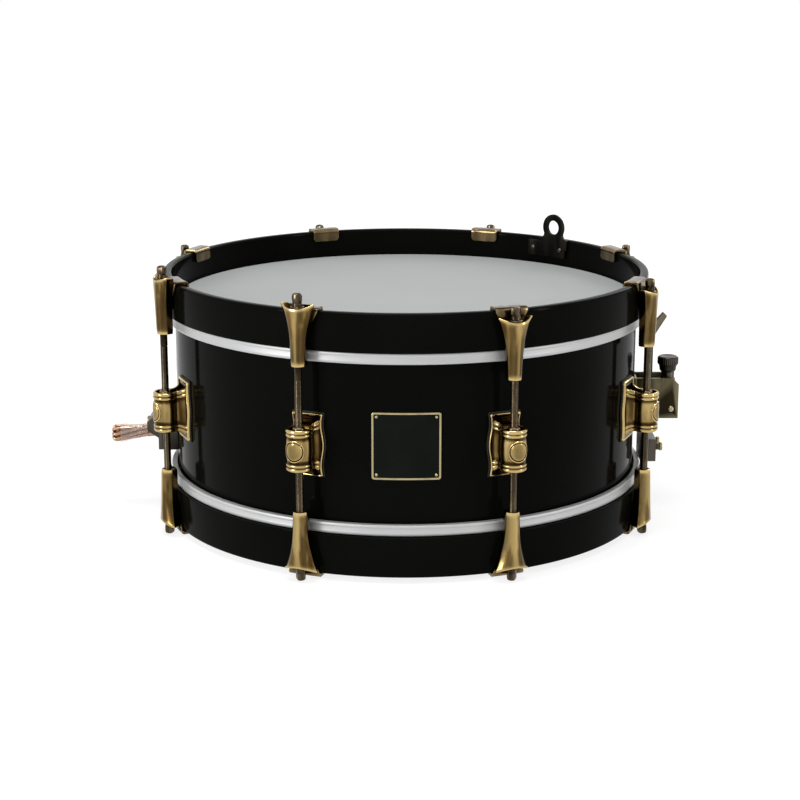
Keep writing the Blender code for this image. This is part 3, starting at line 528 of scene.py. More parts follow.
def rounded(outline, steps=4):
    """A closed outline of (a, b, radius) with each corner turned into a curve."""
    made = []
    count = len(outline)
    for k, (a, b, radius) in enumerate(outline):
        here = Vector((a, b))
        before = Vector(outline[k - 1][:2]) - here
        after = Vector(outline[(k + 1) % count][:2]) - here
        reach = min(radius, 0.48 * before.length, 0.48 * after.length)
        start = before.normalized() * reach
        end = after.normalized() * reach
        for j in range(steps + 1):
            t = j / steps
            spot = here + start * (1 - t) ** 2 + end * t ** 2
            made.append((spot.x, spot.y))
    return made


def turned(name, outline, finish, steps=RING_STEPS):
    """A ring turned about Z from a closed outline of (radius, z) pairs."""
    rings = []
    for k in range(steps):
        angle = 2 * pi * k / steps
        rings.append([(r * cos(angle), r * sin(angle), z) for r, z in outline])
    return loft(name, rings, finish, closed=True)


def circle(radius, z, sides, square=2.0, turn=0.0):
    """A ring about Z. A square value above 2 pulls the circle towards a rounded square."""
    ring = []
    for k in range(sides):
        angle = 2 * pi * k / sides
        reach = radius / (abs(cos(angle)) ** square + abs(sin(angle)) ** square) ** (1 / square)
        ring.append((reach * cos(angle + turn), reach * sin(angle + turn), z))
    return ring


def turned_solid(name, profile, finish, sides=32):
    return loft(name, [circle(r, z, sides) for r, z in profile], finish)


def wear_and_painted_light(mesh, rule):
    """Marks each point from -1, darkest, to 1, brightest, by a rule of its place: wear, patina, painted
    highlights and painted shade.
    """
    values = [rule(v.co) for v in mesh.vertices]
    marks = mesh.attributes.get("wear_and_painted_light") or mesh.attributes.new("wear_and_painted_light", "FLOAT", "POINT")
    marks.data.foreach_set("value", values)
    return mesh


def merged(name, meshes, sharp=SHARP):
    """Several meshes as one, each face keeping its finish and each point its mark of wear and painted
    light.
    """
    body = bmesh.new()
    finishes = []
    wear_and_light_marks = []
    for mesh in meshes:
        own = [0.0] * len(mesh.vertices)
        if "wear_and_painted_light" in mesh.attributes:
            mesh.attributes["wear_and_painted_light"].data.foreach_get("value", own)
            mesh.attributes.remove(mesh.attributes["wear_and_painted_light"])
        wear_and_light_marks += own
        first = len(body.faces)
        body.from_mesh(mesh)
        body.faces.ensure_lookup_table()
        for face in body.faces[first:]:
            finish = mesh.materials[min(face.material_index, len(mesh.materials) - 1)]
            if finish not in finishes:
                finishes.append(finish)
            face.material_index = finishes.index(finish)
    made = bpy.data.meshes.new(name)
    body.to_mesh(made)
    body.free()
    for finish in finishes:
        made.materials.append(finish)
    made.attributes.new("wear_and_painted_light", "FLOAT", "POINT").data.foreach_set("value", wear_and_light_marks)
    return smoothed(made, sharp)


def soften(mesh, width):
    """Rounds the edges of a mesh that are sharper than the ease angle."""
    body = bmesh.new()
    body.from_mesh(mesh)
    edges = [e for e in body.edges if e.is_manifold and e.calc_face_angle() > radians(EASE_ANGLE)]
    bmesh.ops.bevel(body, geom=edges, offset=width, segments=EASE_STEPS, profile=0.5,
                    affect="EDGES", clamp_overlap=True)
    body.to_mesh(mesh)
    body.free()
    return smoothed(mesh)


def bent_round(mesh, radius, half):
    """Bends a flat plate that faces +X round Z, cut into strips so that it follows the curve."""
    body = bmesh.new()
    body.from_mesh(mesh)
    cuts = int(half / BEND_STRIP)
    for k in range(-cuts, cuts + 1):
        everything = body.verts[:] + body.edges[:] + body.faces[:]
        bmesh.ops.bisect_plane(body, geom=everything, plane_co=(0, k * BEND_STRIP, 0),
                               plane_no=(0, 1, 0), dist=1e-6)
    for v in body.verts:
        angle = v.co.y / radius
        v.co.y = v.co.x * sin(angle)
        v.co.x = v.co.x * cos(angle)
    body.to_mesh(mesh)
    body.free()
    mesh.set_sharp_from_angle(angle=radians(SHARP))
    return mesh


def bent_plate(name, outline, back, thick, finish, edge, radius):
    """A plate from an outline of (y, z) that faces +X, its edges rounded, bent round Z."""
    rings = [[(x, y, z) for y, z in outline] for x in (back, back + thick)]
    half = max(abs(y) for y, _ in outline)
    return bent_round(soften(loft(name, rings, finish), edge), radius, half)


def block(name, low, high, finish, edge):
    (x0, y0, z0), (x1, y1, z1) = low, high
    rings = [[(x0, y0, z), (x1, y0, z), (x1, y1, z), (x0, y1, z)] for z in (z0, z1)]
    return soften(loft(name, rings, finish), edge)


def moved(mesh, x=0.0, y=0.0, z=0.0, tilt=0.0, axis="Z"):
    mesh.transform(Matrix.Translation((x, y, z)) @ Matrix.Rotation(tilt, 4, axis))
    return mesh


def along_x(mesh, x, y, z):
    return moved(mesh, x, y, z, pi / 2, "Y")


def along_y(mesh, x, y, z):
    return moved(mesh, x, y, z, -pi / 2, "X")


def tube(name, route, radius, finish, sides=8):
    """A round bar along a route of points, capped."""
    rings = []
    up = Vector((0.13, 0.97, 0.21))
    for k, point in enumerate(route):
        before = Vector(route[max(k - 1, 0)])
        after = Vector(route[min(k + 1, len(route) - 1)])
        along = (after - before).normalized()
        side = along.cross(up).normalized()
        other = side.cross(along).normalized()
        up = other
        ring = []
        for j in range(sides):
            angle = 2 * pi * j / sides
            ring.append(Vector(point) + (side * cos(angle) + other * sin(angle)) * radius)
        rings.append(ring)
    return loft(name, rings, finish)


def piece(name, mesh, body, stands_for=(), place=(0, 0, 0), turn=0.0):
    """Puts a mesh in the scene as a piece of the drum that moves with a CAD body."""
    made = bpy.data.objects.new(name, mesh)
    made.location = place
    made.rotation_euler = (0, 0, turn)
    bpy.context.scene.collection.objects.link(made)
    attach(made, body)
    if stands_for:
        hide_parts(*stands_for)
    return made


def cut_with(mesh, tool):
    """Takes a solid away from a mesh."""
    host = bpy.data.objects.new("host", mesh)
    cutter = bpy.data.objects.new("cutter", tool)
    for each in (host, cutter):
        bpy.context.scene.collection.objects.link(each)
    step = host.modifiers.new("cut", "BOOLEAN")
    step.operation = "DIFFERENCE"
    step.solver = "EXACT"
    step.object = cutter
    bpy.context.view_layer.update()
    made = bpy.data.meshes.new_from_object(
        host.evaluated_get(bpy.context.evaluated_depsgraph_get()))
    for each in (host, cutter):
        bpy.data.objects.remove(each, do_unlink=True)
    return smoothed(made)


# ---- Shell and vent -------------------------------------------------------------------------
EDGE_RUN = 3.0 * MM
VENT_BORE = 5.5 * MM
VENT_FLANGE = 9.5 * MM
VENT_WALL = 1.0 * MM


def make_shell(looks):
    """The lacquered ply shell with a rounded bearing edge at each end and bare ply inside."""
    crown = SHELL_OUT - EDGE_RUN
    slope = crown - SHELL_IN
    outline = rounded([
        (crown, SHELL_HIGH, 0.6 * MM),
        (SHELL_OUT, SHELL_HIGH - EDGE_RUN, 2.4 * MM),
        (SHELL_OUT, SHELL_LOW + EDGE_RUN, 2.4 * MM),
        (crown, SHELL_LOW, 0.6 * MM),
        (SHELL_IN, SHELL_LOW + slope, 0.5 * MM),
        (SHELL_IN, SHELL_HIGH - slope, 0.5 * MM),
    ])
    wall = turned("shell_wall", outline, looks["lacquer"])
    vent_z = middle_of("vent_grommet").z
    reach = VENT_BORE + VENT_WALL + SEAM
    bore = turned_solid("bore", [(reach, SHELL_IN - EDGE_RUN), (reach, SHELL_OUT + EDGE_RUN)],
                        looks["ply"])
    wall = cut_with(wall, along_y(bore, 0, 0, vent_z))
    if len(wall.materials) < 2:
        wall.materials.append(looks["ply"])
    for face in wall.polygons:
        spot = face.center
        inward = face.normal.x * spot.x + face.normal.y * spot.y < 0
        if inward and hypot(spot.x, spot.y) < crown:
            face.material_index = 1
    piece("shell_wall", wall, "root", ["shell"])


def make_vent_grommet(looks):
    """A turned brass eyelet with a rolled flange outside and a flared end inside."""
    middle = middle_of("vent_grommet")
    sleeve = VENT_BORE + VENT_WALL
    out = SHELL_OUT + SEAM
    inside = SHELL_IN - SEAM
    outline = rounded([
        (VENT_BORE, inside - VENT_WALL, 0.4 * MM),
        (sleeve + VENT_WALL, inside - VENT_WALL, 0.4 * MM),
        (sleeve, inside + SEAM, 0.3 * MM),
        (sleeve, out, 0.1 * MM),
        (VENT_FLANGE, out, 0.2 * MM),
        (VENT_FLANGE, out + 0.7 * MM, 0.5 * MM),
        (sleeve, out + 1.5 * MM, 1.2 * MM),
        (VENT_BORE, out + 0.5 * MM, 0.6 * MM),
    ])
    mesh = turned("vent_eyelet", outline, looks["brass"], 48)
    piece("vent_eyelet", along_y(mesh, 0, 0, middle.z), "root", ["vent_grommet"])


# ---- Heads ----------------------------------------------------------------------------------
def head_mesh(name, plane, up, collar, depth, film, finish):
    """A film drawn flat over the bearing edge and down into a short collar."""
    flat = SHELL_OUT - EDGE_RUN - 0.4 * MM
    outside = []
    for k in range(9):
        angle = pi / 2 * k / 8
        outside.append((flat + (collar - flat) * sin(angle), -3.0 * MM * (1 - cos(angle))))
    outside.append((collar, -depth))
    inside = [(collar - film, -depth)]
    inside += [(r - film, z - film) for r, z in reversed(outside[:-1])]
    profile = [(0.33 * flat, 0), (0.66 * flat, 0), *outside, *inside, (0.5 * flat, -film)]
    rings = [circle(r, plane + up * z, RING_STEPS) for r, z in profile]
    return loft(name, rings, finish)


def make_heads(looks):
    """The coated batter head on top and the clear snare head below."""
    depth = -COLLAR_LOW
    batter = head_mesh("batter_film", 0.0, 1, COLLAR_OUT, depth, 0.35 * MM, looks["batter_film"])
    piece("batter_film", batter, "root", ["batter_head"])
    depth = SNARE_COLLAR_HIGH - SNARE_HEAD_LOW
    snare = head_mesh("snare_film", SNARE_HEAD_LOW, -1, SNARE_COLLAR_OUT, depth, 0.3 * MM,
                      looks["snare_film"])
    piece("snare_film", snare, "root", ["snare_head"])


# ---- Hoops ----------------------------------------------------------------------------------
GATE_FLOOR = -153.0 * MM
GATE_HALF = 18.0 * MM
GATE_STEP = 0.4 * MM


def counterhoop_mesh(name, near, far, finish, gates=False):
    """A lacquered wooden hoop with rounded edges. The gates are notches for the strands."""
    angles = [2 * pi * k / RING_STEPS for k in range(RING_STEPS)]
    if gates:
        half = GATE_HALF / HOOP_OUT
        for side in (0, pi):
            for edge in (-half, half):
                angles += [side + edge - GATE_STEP / HOOP_OUT, side + edge + GATE_STEP / HOOP_OUT]
    rings = []
    for angle in sorted(a % (2 * pi) for a in angles):
        in_gate = gates and abs(HOOP_OUT * sin(angle)) < GATE_HALF
        low = GATE_FLOOR if in_gate else near
        outline = rounded([
            (HOOP_IN, low, 0.8 * MM),
            (HOOP_OUT, low, 0.8 * MM),
            (HOOP_OUT, far, 2.2 * MM),
            (HOOP_IN, far, 2.2 * MM),
        ], 5)
        rings.append([(r * cos(angle), r * sin(angle), z) for r, z in outline])
    return loft(name, rings, finish, closed=True)


def flesh_mesh(name, near, far, finish):
    """A rolled aluminium hoop: a flat band between two raised beads."""
    groove = FLESH_OUT - 0.35 * MM
    step = near - far
    outline = rounded([
        (HOOP_IN, near, 0.4 * MM),
        (FLESH_OUT - 0.2 * MM, near, 1.0 * MM),
        (FLESH_OUT, near - 0.22 * step, 0.7 * MM),
        (groove, near - 0.32 * step, 0.5 * MM),
        (groove + 0.2 * MM, near - 0.64 * step, 0.5 * MM),
        (FLESH_OUT, near - 0.74 * step, 0.7 * MM),
        (FLESH_OUT - 0.2 * MM, far, 1.0 * MM),
        (HOOP_IN, far, 0.4 * MM),
    ])
    return turned(name, outline, finish)


def make_hoops(looks):
    """A wooden counterhoop and an aluminium flesh hoop at each head. The lower wood has the gates."""
    batter = counterhoop_mesh("batter_wood_hoop", BATTER_HOOP_LOW, BATTER_EDGE, looks["lacquer"])
    piece("batter_wood_hoop", batter, "batter_hoop", ["batter_counterhoop"])
    snare = counterhoop_mesh("snare_wood_hoop", SNARE_HOOP_HIGH, SNARE_EDGE, looks["lacquer"], True)
    piece("snare_wood_hoop", snare, "snare_hoop", ["snare_counterhoop"])
    upper = flesh_mesh("batter_silver_hoop", FLESH_HIGH, FLESH_LOW, looks["aluminium"])
    piece("batter_silver_hoop", upper, "batter_hoop", ["batter_flesh_hoop"])
    lower = flesh_mesh("snare_silver_hoop", SNARE_FLESH_HIGH, SNARE_FLESH_LOW, looks["aluminium"])
    piece("snare_silver_hoop", lower, "snare_hoop", ["snare_flesh_hoop"])


# ---- Claws ----------------------------------------------------------------------------------
NOSE_LENGTH = 40.0 * MM
NOSE_WAIST_HALF = 5.9 * MM
NOSE_FLARE_HALF = 12.8 * MM
NOSE_DEPTH = 6.2 * MM
NOSE_HORN = 3.4 * MM
NOSE_WALL = 1.4 * MM
NOSE_BORE = 3.2 * MM
HOOK_PLATE = 2.0 * MM
HOOK_HALF = 12.0 * MM
HOOK_LEG = 19.0 * MM
HOOK_LIP = 8.0 * MM
LIP_GAP = 0.5 * MM
LEG_STEPS = 5
BEND_STEPS = 6
LIP_STEPS = 8


def nose_section(along, shrink):
    """The claw's cross-section (x, y) at a share of its length: flat front, a point each side."""
    flare = 0.08 * along + 0.92 * along ** 3.4
    half = NOSE_WAIST_HALF + flare * (NOSE_FLARE_HALF - NOSE_WAIST_HALF) - shrink
    back = HOOP_OUT + SEAM + HOOK_PLATE / 2 + 0.7 * shrink
    front = ROD_CIRCLE + NOSE_DEPTH - 1.4 * MM * (1 - along) - 0.8 * shrink
    tip = (2.6 - 2.0 * along) * MM
    outline = [
        (back, -0.8 * half, 1.0 * MM),
        (ROD_CIRCLE, -half, tip),
        (front - 0.9 * MM, -0.58 * half, 3.4 * MM),
        (front + 0.5 * MM, 0.0, 6.0 * MM),
        (front - 0.9 * MM, 0.58 * half, 3.4 * MM),
        (ROD_CIRCLE, half, tip),
        (back, 0.8 * half, 1.0 * MM),
    ]
    return rounded(outline, 4), half


def nose_ring(along, shrink, seat, up, lift=0.0, horned=True):
    ring = []
    outline, half = nose_section(along, shrink)
    weight = max(0.0, (along - 0.7) / 0.3)
    weight = weight * weight * (3 - 2 * weight) if horned else 0.0
    for x, y in outline:
        horn = NOSE_HORN * weight * (y / half) ** 2
        ring.append((x, y, seat + up * (lift + horn - NOSE_LENGTH * (1 - along))))
    return ring


def bore_ring(like, z):
    """A circle round the rod's axis with a point for each point of another ring."""
    ring = []
    for x, y, _ in like:
        angle = atan2(y, x - ROD_CIRCLE)
        ring.append((ROD_CIRCLE + NOSE_BORE * cos(angle), NOSE_BORE * sin(angle), z))
    return ring


def nose_mesh(name, seat, up, finish):
    """The claw's flared nose: a hollow horn, bored for the rod, with a dished mouth."""
    rings = [nose_ring(0.0, 1.0 * MM, seat, up), nose_ring(0.008, 0.25 * MM, seat, up)]
    for k in range(1, 24):
        rings.append(nose_ring(0.03 + 0.97 * k / 24, 0.0, seat, up))
    rings.append(nose_ring(1.0, 0.0, seat, up))
    rings.append(nose_ring(1.0, 0.2 * MM, seat, up, 0.45 * MM))
    rings.append(nose_ring(1.0, 0.7 * MM, seat, up, 0.60 * MM))
    rings.append(nose_ring(1.0, 1.2 * MM, seat, up, 0.40 * MM))
    rings.append(nose_ring(1.0, NOSE_WALL, seat, up, 0.0))
    rings.append(nose_ring(0.97, 2.0 * NOSE_WALL, seat, up, 0.4 * MM, False))
    rings.append(bore_ring(rings[-1], seat - up * 0.8 * MM))
    rings.append(bore_ring(rings[0], seat - up * NOSE_LENGTH))
    mesh = loft(name, rings, finish, closed=True, sharp=48)
    # Painted highlights and painted shade, with the worn rim, marked on each point.
    return wear_and_painted_light(mesh, lambda spot: nose_wear_and_light(spot, seat, up))


def nose_wear_and_light(spot, seat, up):
    """Rim and narrow end worn and painted bright; painted highlight, light and dark painted streaks on
    the front; painted shade at sides, behind, in the bore.
    """
    rise = up * (spot.z - seat)
    along = min(1.0, max(0.0, 1 + rise / NOSE_LENGTH))
    if spot.x < ROD_CIRCLE - 1.5 * MM:
        return -0.8
    if hypot(spot.x - ROD_CIRCLE, spot.y) < NOSE_BORE + 0.3 * MM:
        return -1.0
    horn = NOSE_HORN * (spot.y / NOSE_FLARE_HALF) ** 2
    if rise > horn - 0.7 * MM or along < 0.012:
        return 0.9
    half = NOSE_WAIST_HALF + along ** 3.4 * (NOSE_FLARE_HALF - NOSE_WAIST_HALF)
    across = spot.y / half
    # A painted highlight streak and a painted dark streak stand in for reflections.
    streak = 0.30 * exp(-((across - 0.10) / 0.14) ** 2) - 0.50 * exp(-((across - 0.46) / 0.15) ** 2)
    return 0.20 - 0.95 * min(1.0, abs(across)) ** 1.3 + 0.30 * max(0.0, along - 0.55) + streak


def hook_path(edge, up):
    """Centre line (radius, z) of the hook, from its leg outside the hoop to its lip inside."""
    out = HOOP_OUT + SEAM + HOOK_PLATE / 2
    inside = HOOP_IN - LIP_GAP - HOOK_PLATE / 2
    over = edge + up * (SEAM + HOOK_PLATE / 2)
    bend = 1.7 * MM
    path = [(out, edge - up * HOOK_LEG * (1 - 0.17 * k)) for k in range(LEG_STEPS)]
    for centre, start in ((out - bend, 0), (inside + bend, 1)):
        for k in range(BEND_STEPS):
            angle = pi / 2 * (start + k / (BEND_STEPS - 1))
            path.append((centre + bend * cos(angle), over - up * bend * (1 - sin(angle))))
    low = edge - up * HOOK_LIP
    top = path[-1][1]
    for k in range(1, LIP_STEPS + 1):
        path.append((inside, top + (low - top) * sin(pi / 2 * k / LIP_STEPS)))
    return path


def hook_mesh(name, edge, up, finish):
    """A plate bent over the hoop's edge, its lip rounded off at the corners."""
    path = hook_path(edge, up)
    columns = 8
    lip_round = 3.2 * MM
    lip_start = LEG_STEPS + 2 * BEND_STEPS
    rings = []
    for k, (r, z) in enumerate(path):
        before = Vector(path[max(k - 1, 0)])
        after = Vector(path[min(k + 1, len(path) - 1)])
        run = (after - before).normalized()
        out = Vector((run.y, -run.x)) * up * HOOK_PLATE / 2
        from_end = min(lip_round, abs(z - path[-1][1])) if k >= lip_start else lip_round
        near_end = max(0.0, 1 - from_end / lip_round)
        half = HOOK_HALF - lip_round * (1 - sqrt(1 - near_end ** 2))
        below = abs(z - edge) / HOOK_LEG if k < LEG_STEPS else 0.0
        half -= 0.62 * HOOK_HALF * min(1.0, max(0.0, (below - 0.16) / 0.40))
        steps = [half * (2 * j / columns - 1) / HOOP_OUT for j in range(columns + 1)]
        ring = [((r + out.x) * cos(a), (r + out.x) * sin(a), z + out.y) for a in steps]
        ring += [((r - out.x) * cos(a), (r - out.x) * sin(a), z - out.y) for a in reversed(steps)]
        rings.append(ring)
    mesh = soften(loft(name, rings, finish), 0.45 * MM)
    # Painted highlight and painted shade marked on each point.
    return wear_and_painted_light(mesh, lambda spot: hook_painted_light(spot, edge))


def hook_painted_light(spot, edge):
    """Painted highlight where the hook bends over the hoop and on its lip, painted shade down its leg.
    """
    reach = hypot(spot.x, spot.y)
    if reach > HOOP_OUT and abs(spot.z - edge) > 1.5 * MM:
        return -0.9
    return 0.25 if reach < HOOP_IN else 0.05


# ---- Tension rods ---------------------------------------------------------------------------
THREAD_PITCH = 0.9 * MM
THREAD_DEPTH = 0.22 * MM
THREAD_RUN = 46.0 * MM
ROD_SIDES = 20
# The washer, the collar and the square head above it: radius and level in mm, and squareness.
ROD_TOP = (
    (4.5, 0.30, 2), (4.8, 0.50, 2), (4.8, 1.50, 2), (4.5, 1.75, 2), (3.7, 1.85, 2),
    (3.65, 2.4, 2), (3.3, 3.3, 2.4), (2.95, 4.4, 3.2), (2.9, 5.2, 5), (3.0, 6.0, 6),
    (3.0, 9.0, 6), (2.75, 10.2, 4.5), (2.1, 10.8, 3), (1.2, 11.0, 2),
)


def rod_mesh(name, length, up, finish):
    """A tension rod from its seat at z = 0: threaded end, plain shank, washer and square head."""
    rings = []
    turns = int(THREAD_RUN / THREAD_PITCH)
    end = -length
    rings.append(circle(0.7 * ROD_RADIUS, up * end, ROD_SIDES))
    for k in range(turns):
        base = end + (k + 0.15) * THREAD_PITCH
        for share, depth in ((0.0, 1.0), (0.35, 0.0), (0.5, 0.0), (0.85, 1.0)):
            reach = ROD_RADIUS - THREAD_DEPTH * depth
            rings.append(circle(reach, up * (base + share * THREAD_PITCH), ROD_SIDES))
    shank = end + turns * THREAD_PITCH + THREAD_PITCH
    profile = [(ROD_RADIUS, shank, 2), (ROD_RADIUS, ROD_TOP[0][1] * MM, 2)]
    profile += [(radius * MM, z * MM, square) for radius, z, square in ROD_TOP]
    for reach, level, square in profile:
        rings.append(circle(reach, up * level, ROD_SIDES, square, pi / 4))
    return loft(name, rings, finish, sharp=38)


# ---- Lugs -----------------------------------------------------------------------------------
FLANGE_HALF = 12.4 * MM
FLANGE_TALL = 22.5 * MM
FLANGE_THICK = 2.2 * MM
GASKET = 0.9 * MM
BARREL_RADIUS = 9.1 * MM
BARREL_TALL = 15.0 * MM
NECK_HALF = 6.6 * MM
MEDAL_RADIUS = 7.7 * MM
MEDAL_STEPS = 40
# Profile up from the middle of the barrel: share of the half height, and rise in mm.
LUG_RIBS = (
    (0.0, 0.05), (0.24, 0.02), (0.44, -0.22), (0.56, -0.42), (0.635, -0.35), (0.665, 0.15),
    (0.715, 0.32), (0.765, 0.15), (0.80, -0.28), (0.835, 0.15), (0.885, 0.36), (0.94, 0.25),
    (0.985, -0.25), (1.0, -0.75),
)
# Shares of the half height where the body is darkest.
LUG_GROOVES = ((0.50, 0.65), (0.785, 0.815))
# Profile out from the medallion's middle: share of its radius, and rise in mm.
MEDAL_RELIEF = (
    (0.05, 0.75), (0.45, 0.72), (0.72, 0.60), (0.80, 0.45), (0.84, 0.02), (0.88, 0.02),
    (0.91, 0.55), (0.96, 0.62), (1.0, 0.45), (1.04, -0.35), (0.9, -1.2), (0.05, -1.2),
)
# The flange and its gasket, from the shell up: inset from the outline and height, in mm.
FLANGE_RIM = (
    (0.3, 0.0), (0.0, 0.2), (0.0, 1.5), (0.2, 2.0), (0.6, 2.3), (1.0, 2.2), (1.4, 1.8),
    (1.8, 1.45), (2.6, 1.35), (4.0, 1.4), (6.0, 1.5), (9.0, 1.6),
)
GASKET_LIP = ((-0.7, 0.0), (-0.9, 0.2), (-0.9, 0.65), (-0.7, 0.85), (0.5, 0.85), (5.0, 0.85))


def flange_outline(grow):
    """Flange outline (y, z): rounded corners and a side that swells gently at the middle."""
    tall = FLANGE_TALL + grow
    side = []
    for k in range(17):
        share = -1 + 2 * k / 16
        swell = 0.86 + 0.14 * cos(pi * share / 1.3) ** 2
        corner = 4.0 * MM if k in (0, 16) else 0.3 * MM
        side.append((FLANGE_HALF * swell + grow, share * tall, corner))
    other = [(-y, z, corner) for y, z, corner in reversed(side)]
    return rounded(side + other, 3)


def lug_outline(grow):
    """Outline (x, y) of the lug's body seen from above: foot, neck and round barrel."""
    foot_x = SHELL_OUT + GASKET + 0.6 * FLANGE_THICK
    foot_half = 10.2 * MM
    neck_x = ROD_CIRCLE - sqrt(BARREL_RADIUS ** 2 - NECK_HALF ** 2)
    side = []
    for k in range(10):
        t = k / 9
        half = NECK_HALF + (foot_half - NECK_HALF) * (1 - t) ** 2.4 + grow
        side.append((foot_x + (neck_x - foot_x) * t, half))
    reach = BARREL_RADIUS + grow
    first = atan2(NECK_HALF, neck_x - ROD_CIRCLE)
    for k in range(1, 13):
        angle = first * (1 - k / 13)
        side.append((ROD_CIRCLE + reach * cos(angle), reach * sin(angle)))
    return side + [(x, -y) for x, y in reversed(side)]


def lug_height(x):
    """Half height of the body at a distance x: the barrel's, sweeping up to the flange."""
    foot_x = SHELL_OUT + GASKET
    share = max(0.0, 1 - (x - foot_x) / (ROD_CIRCLE - 3.0 * MM - foot_x))
    return BARREL_TALL + 5.0 * MM * share ** 2.6


def lug_level(v, grow, drop=0.0):
    return [(x, y, LUG_Z + v * (lug_height(x) - drop)) for x, y in lug_outline(grow)]


def ladder_cap(level, count):
    """Faces that close a ring whose outline mirrors itself, as a ladder of quads."""
    base = level * count
    half = count // 2
    return [(base + k, base + k + 1, base + count - 2 - k, base + count - 1 - k)
            for k in range(half - 1)]


def lug_body_mesh(finish):
    """The cast body: two ribs at each end of the barrel run back along the neck."""
    end = [(v, rib * MM) for v, rib in LUG_RIBS]
    levels = [(-v, rib) for v, rib in reversed(end[1:])] + end
    rings = [lug_level(-1.0, -2.2 * MM, 4.5 * MM), lug_level(-1.0, -1.9 * MM, 0.4 * MM)]
    rings += [lug_level(v, rib) for v, rib in levels]
    rings += [lug_level(1.0, -1.9 * MM, 0.4 * MM), lug_level(1.0, -2.2 * MM, 4.5 * MM)]
    count = len(rings[0])
    points = [p for ring in rings for p in ring]
    faces = loft_faces(count, len(rings), False)[:-2]
    faces += ladder_cap(0, count) + ladder_cap(len(rings) - 1, count)
    return mesh_of("lug_body", points, faces, finish, 44)


def medallion_mesh(finish):
    """A bare domed disc in a raised ring, wrapped round the front of the barrel."""
    rings = []
    for share, height in MEDAL_RELIEF:
        ring = []
        for k in range(MEDAL_STEPS):
            theta = 2 * pi * k / MEDAL_STEPS
            angle = MEDAL_RADIUS * share * cos(theta) / BARREL_RADIUS
            reach = BARREL_RADIUS + height * MM
            ring.append((ROD_CIRCLE + reach * cos(angle), reach * sin(angle),
                         LUG_Z + MEDAL_RADIUS * share * sin(theta)))
        rings.append(ring)
    return loft("lug_medallion", rings, finish, sharp=50)


def swivel_nut_mesh(finish):
    """The end of the swivel nut that shows round a rod at each end of the barrel."""
    outline = rounded([
        (3.05 * MM, -5.5 * MM, 0.1 * MM), (4.6 * MM, -5.5 * MM, 0.1 * MM),
        (4.6 * MM, 0.5 * MM, 0.4 * MM), (3.8 * MM, 1.9 * MM, 0.5 * MM),
        (3.05 * MM, 1.9 * MM, 0.3 * MM),
    ])
    return turned("nut", outline, finish, 24)


def lug_wear_and_light(spot):
    """Worn and painted bright on the flange's edge, ribs and medallion, painted bright on the neck;
    patina and painted shade in grooves and hollows, painted shade on the flange.
    """
    z = spot.z - LUG_Z
    reach = hypot(spot.x - ROD_CIRCLE, spot.y)
    # Painted shade over the flange, with its edge bright as wear and painted highlight.
    if hypot(spot.x, spot.y) < SHELL_OUT + GASKET + FLANGE_THICK + 0.2 * MM:
        swell = FLANGE_HALF * (0.86 + 0.14 * cos(pi * z / FLANGE_TALL / 1.3) ** 2)
        edge = max(abs(spot.y) / swell, abs(z) / FLANGE_TALL)
        return 0.75 if edge > 0.925 else -1.0
    around = hypot(atan2(spot.y, spot.x - ROD_CIRCLE) * BARREL_RADIUS, z) / MEDAL_RADIUS
    if around < 1.06 and spot.x > ROD_CIRCLE:
        return -1.0 if 0.81 < around < 0.90 else 0.28
    if 4.7 * MM < reach < BARREL_RADIUS - 1.6 * MM and spot.x > ROD_CIRCLE - BARREL_RADIUS:
        return -1.0
    if spot.x < ROD_CIRCLE - 5.5 * MM and abs(spot.y) < NECK_HALF - 1.6 * MM:
        return -1.0
    level = abs(z) / lug_height(spot.x)
    if any(low < level < high for low, high in LUG_GROOVES):
        return -0.85
    if level >= LUG_GROOVES[0][1]:
        return 0.45
    foot = SHELL_OUT + GASKET + FLANGE_THICK
    return 0.32 - 0.95 * max(0.0, 1 - (spot.x - foot) / (6.0 * MM)) ** 0.9


def saddle_plate(name, profile, back, finish):
    """The flange's outline bent round the shell, built up from (inset, height) steps in mm."""
    rings = []
    for inset, height in profile:
        reach = back + height * MM
        rings.append([(reach * cos(y / SHELL_OUT), reach * sin(y / SHELL_OUT), z)
                      for y, z in flange_outline(-inset * MM)])
    return loft(name, rings, finish, sharp=50)


def make_lugs(looks):
    """Eight cast lugs, each on its own gasket."""
    flange = saddle_plate("flange", FLANGE_RIM, SHELL_OUT + GASKET, looks["brass"])
    upper = moved(swivel_nut_mesh(looks["hook_bronze"]), ROD_CIRCLE, 0, BARREL_TALL - 1.0 * MM)
    lower = moved(swivel_nut_mesh(looks["hook_bronze"]), 0, 0, 0, pi, "X")
    lower = moved(lower, ROD_CIRCLE, 0, -BARREL_TALL + 1.0 * MM)
    for part in (flange, upper, lower):
        moved(part, 0, 0, LUG_Z)
    body = merged("lug", [flange, lug_body_mesh(looks["brass"]), medallion_mesh(looks["brass"]),
                          upper, lower], 44)
    # Worn places, painted highlights and painted shade marked on each point.
    body = wear_and_painted_light(body, lug_wear_and_light)
    gasket = saddle_plate("gasket", GASKET_LIP, SHELL_OUT + 0.1 * MM, looks["rubber"])
    moved(gasket, 0, 0, LUG_Z)
    for k in STATIONS:
        turn = station_angle(k)
        piece(f"lug_casting_{k}", body, "root", [f"lug_{k}"], turn=turn)
        piece(f"lug_gasket_{k}", gasket, "root", turn=turn)


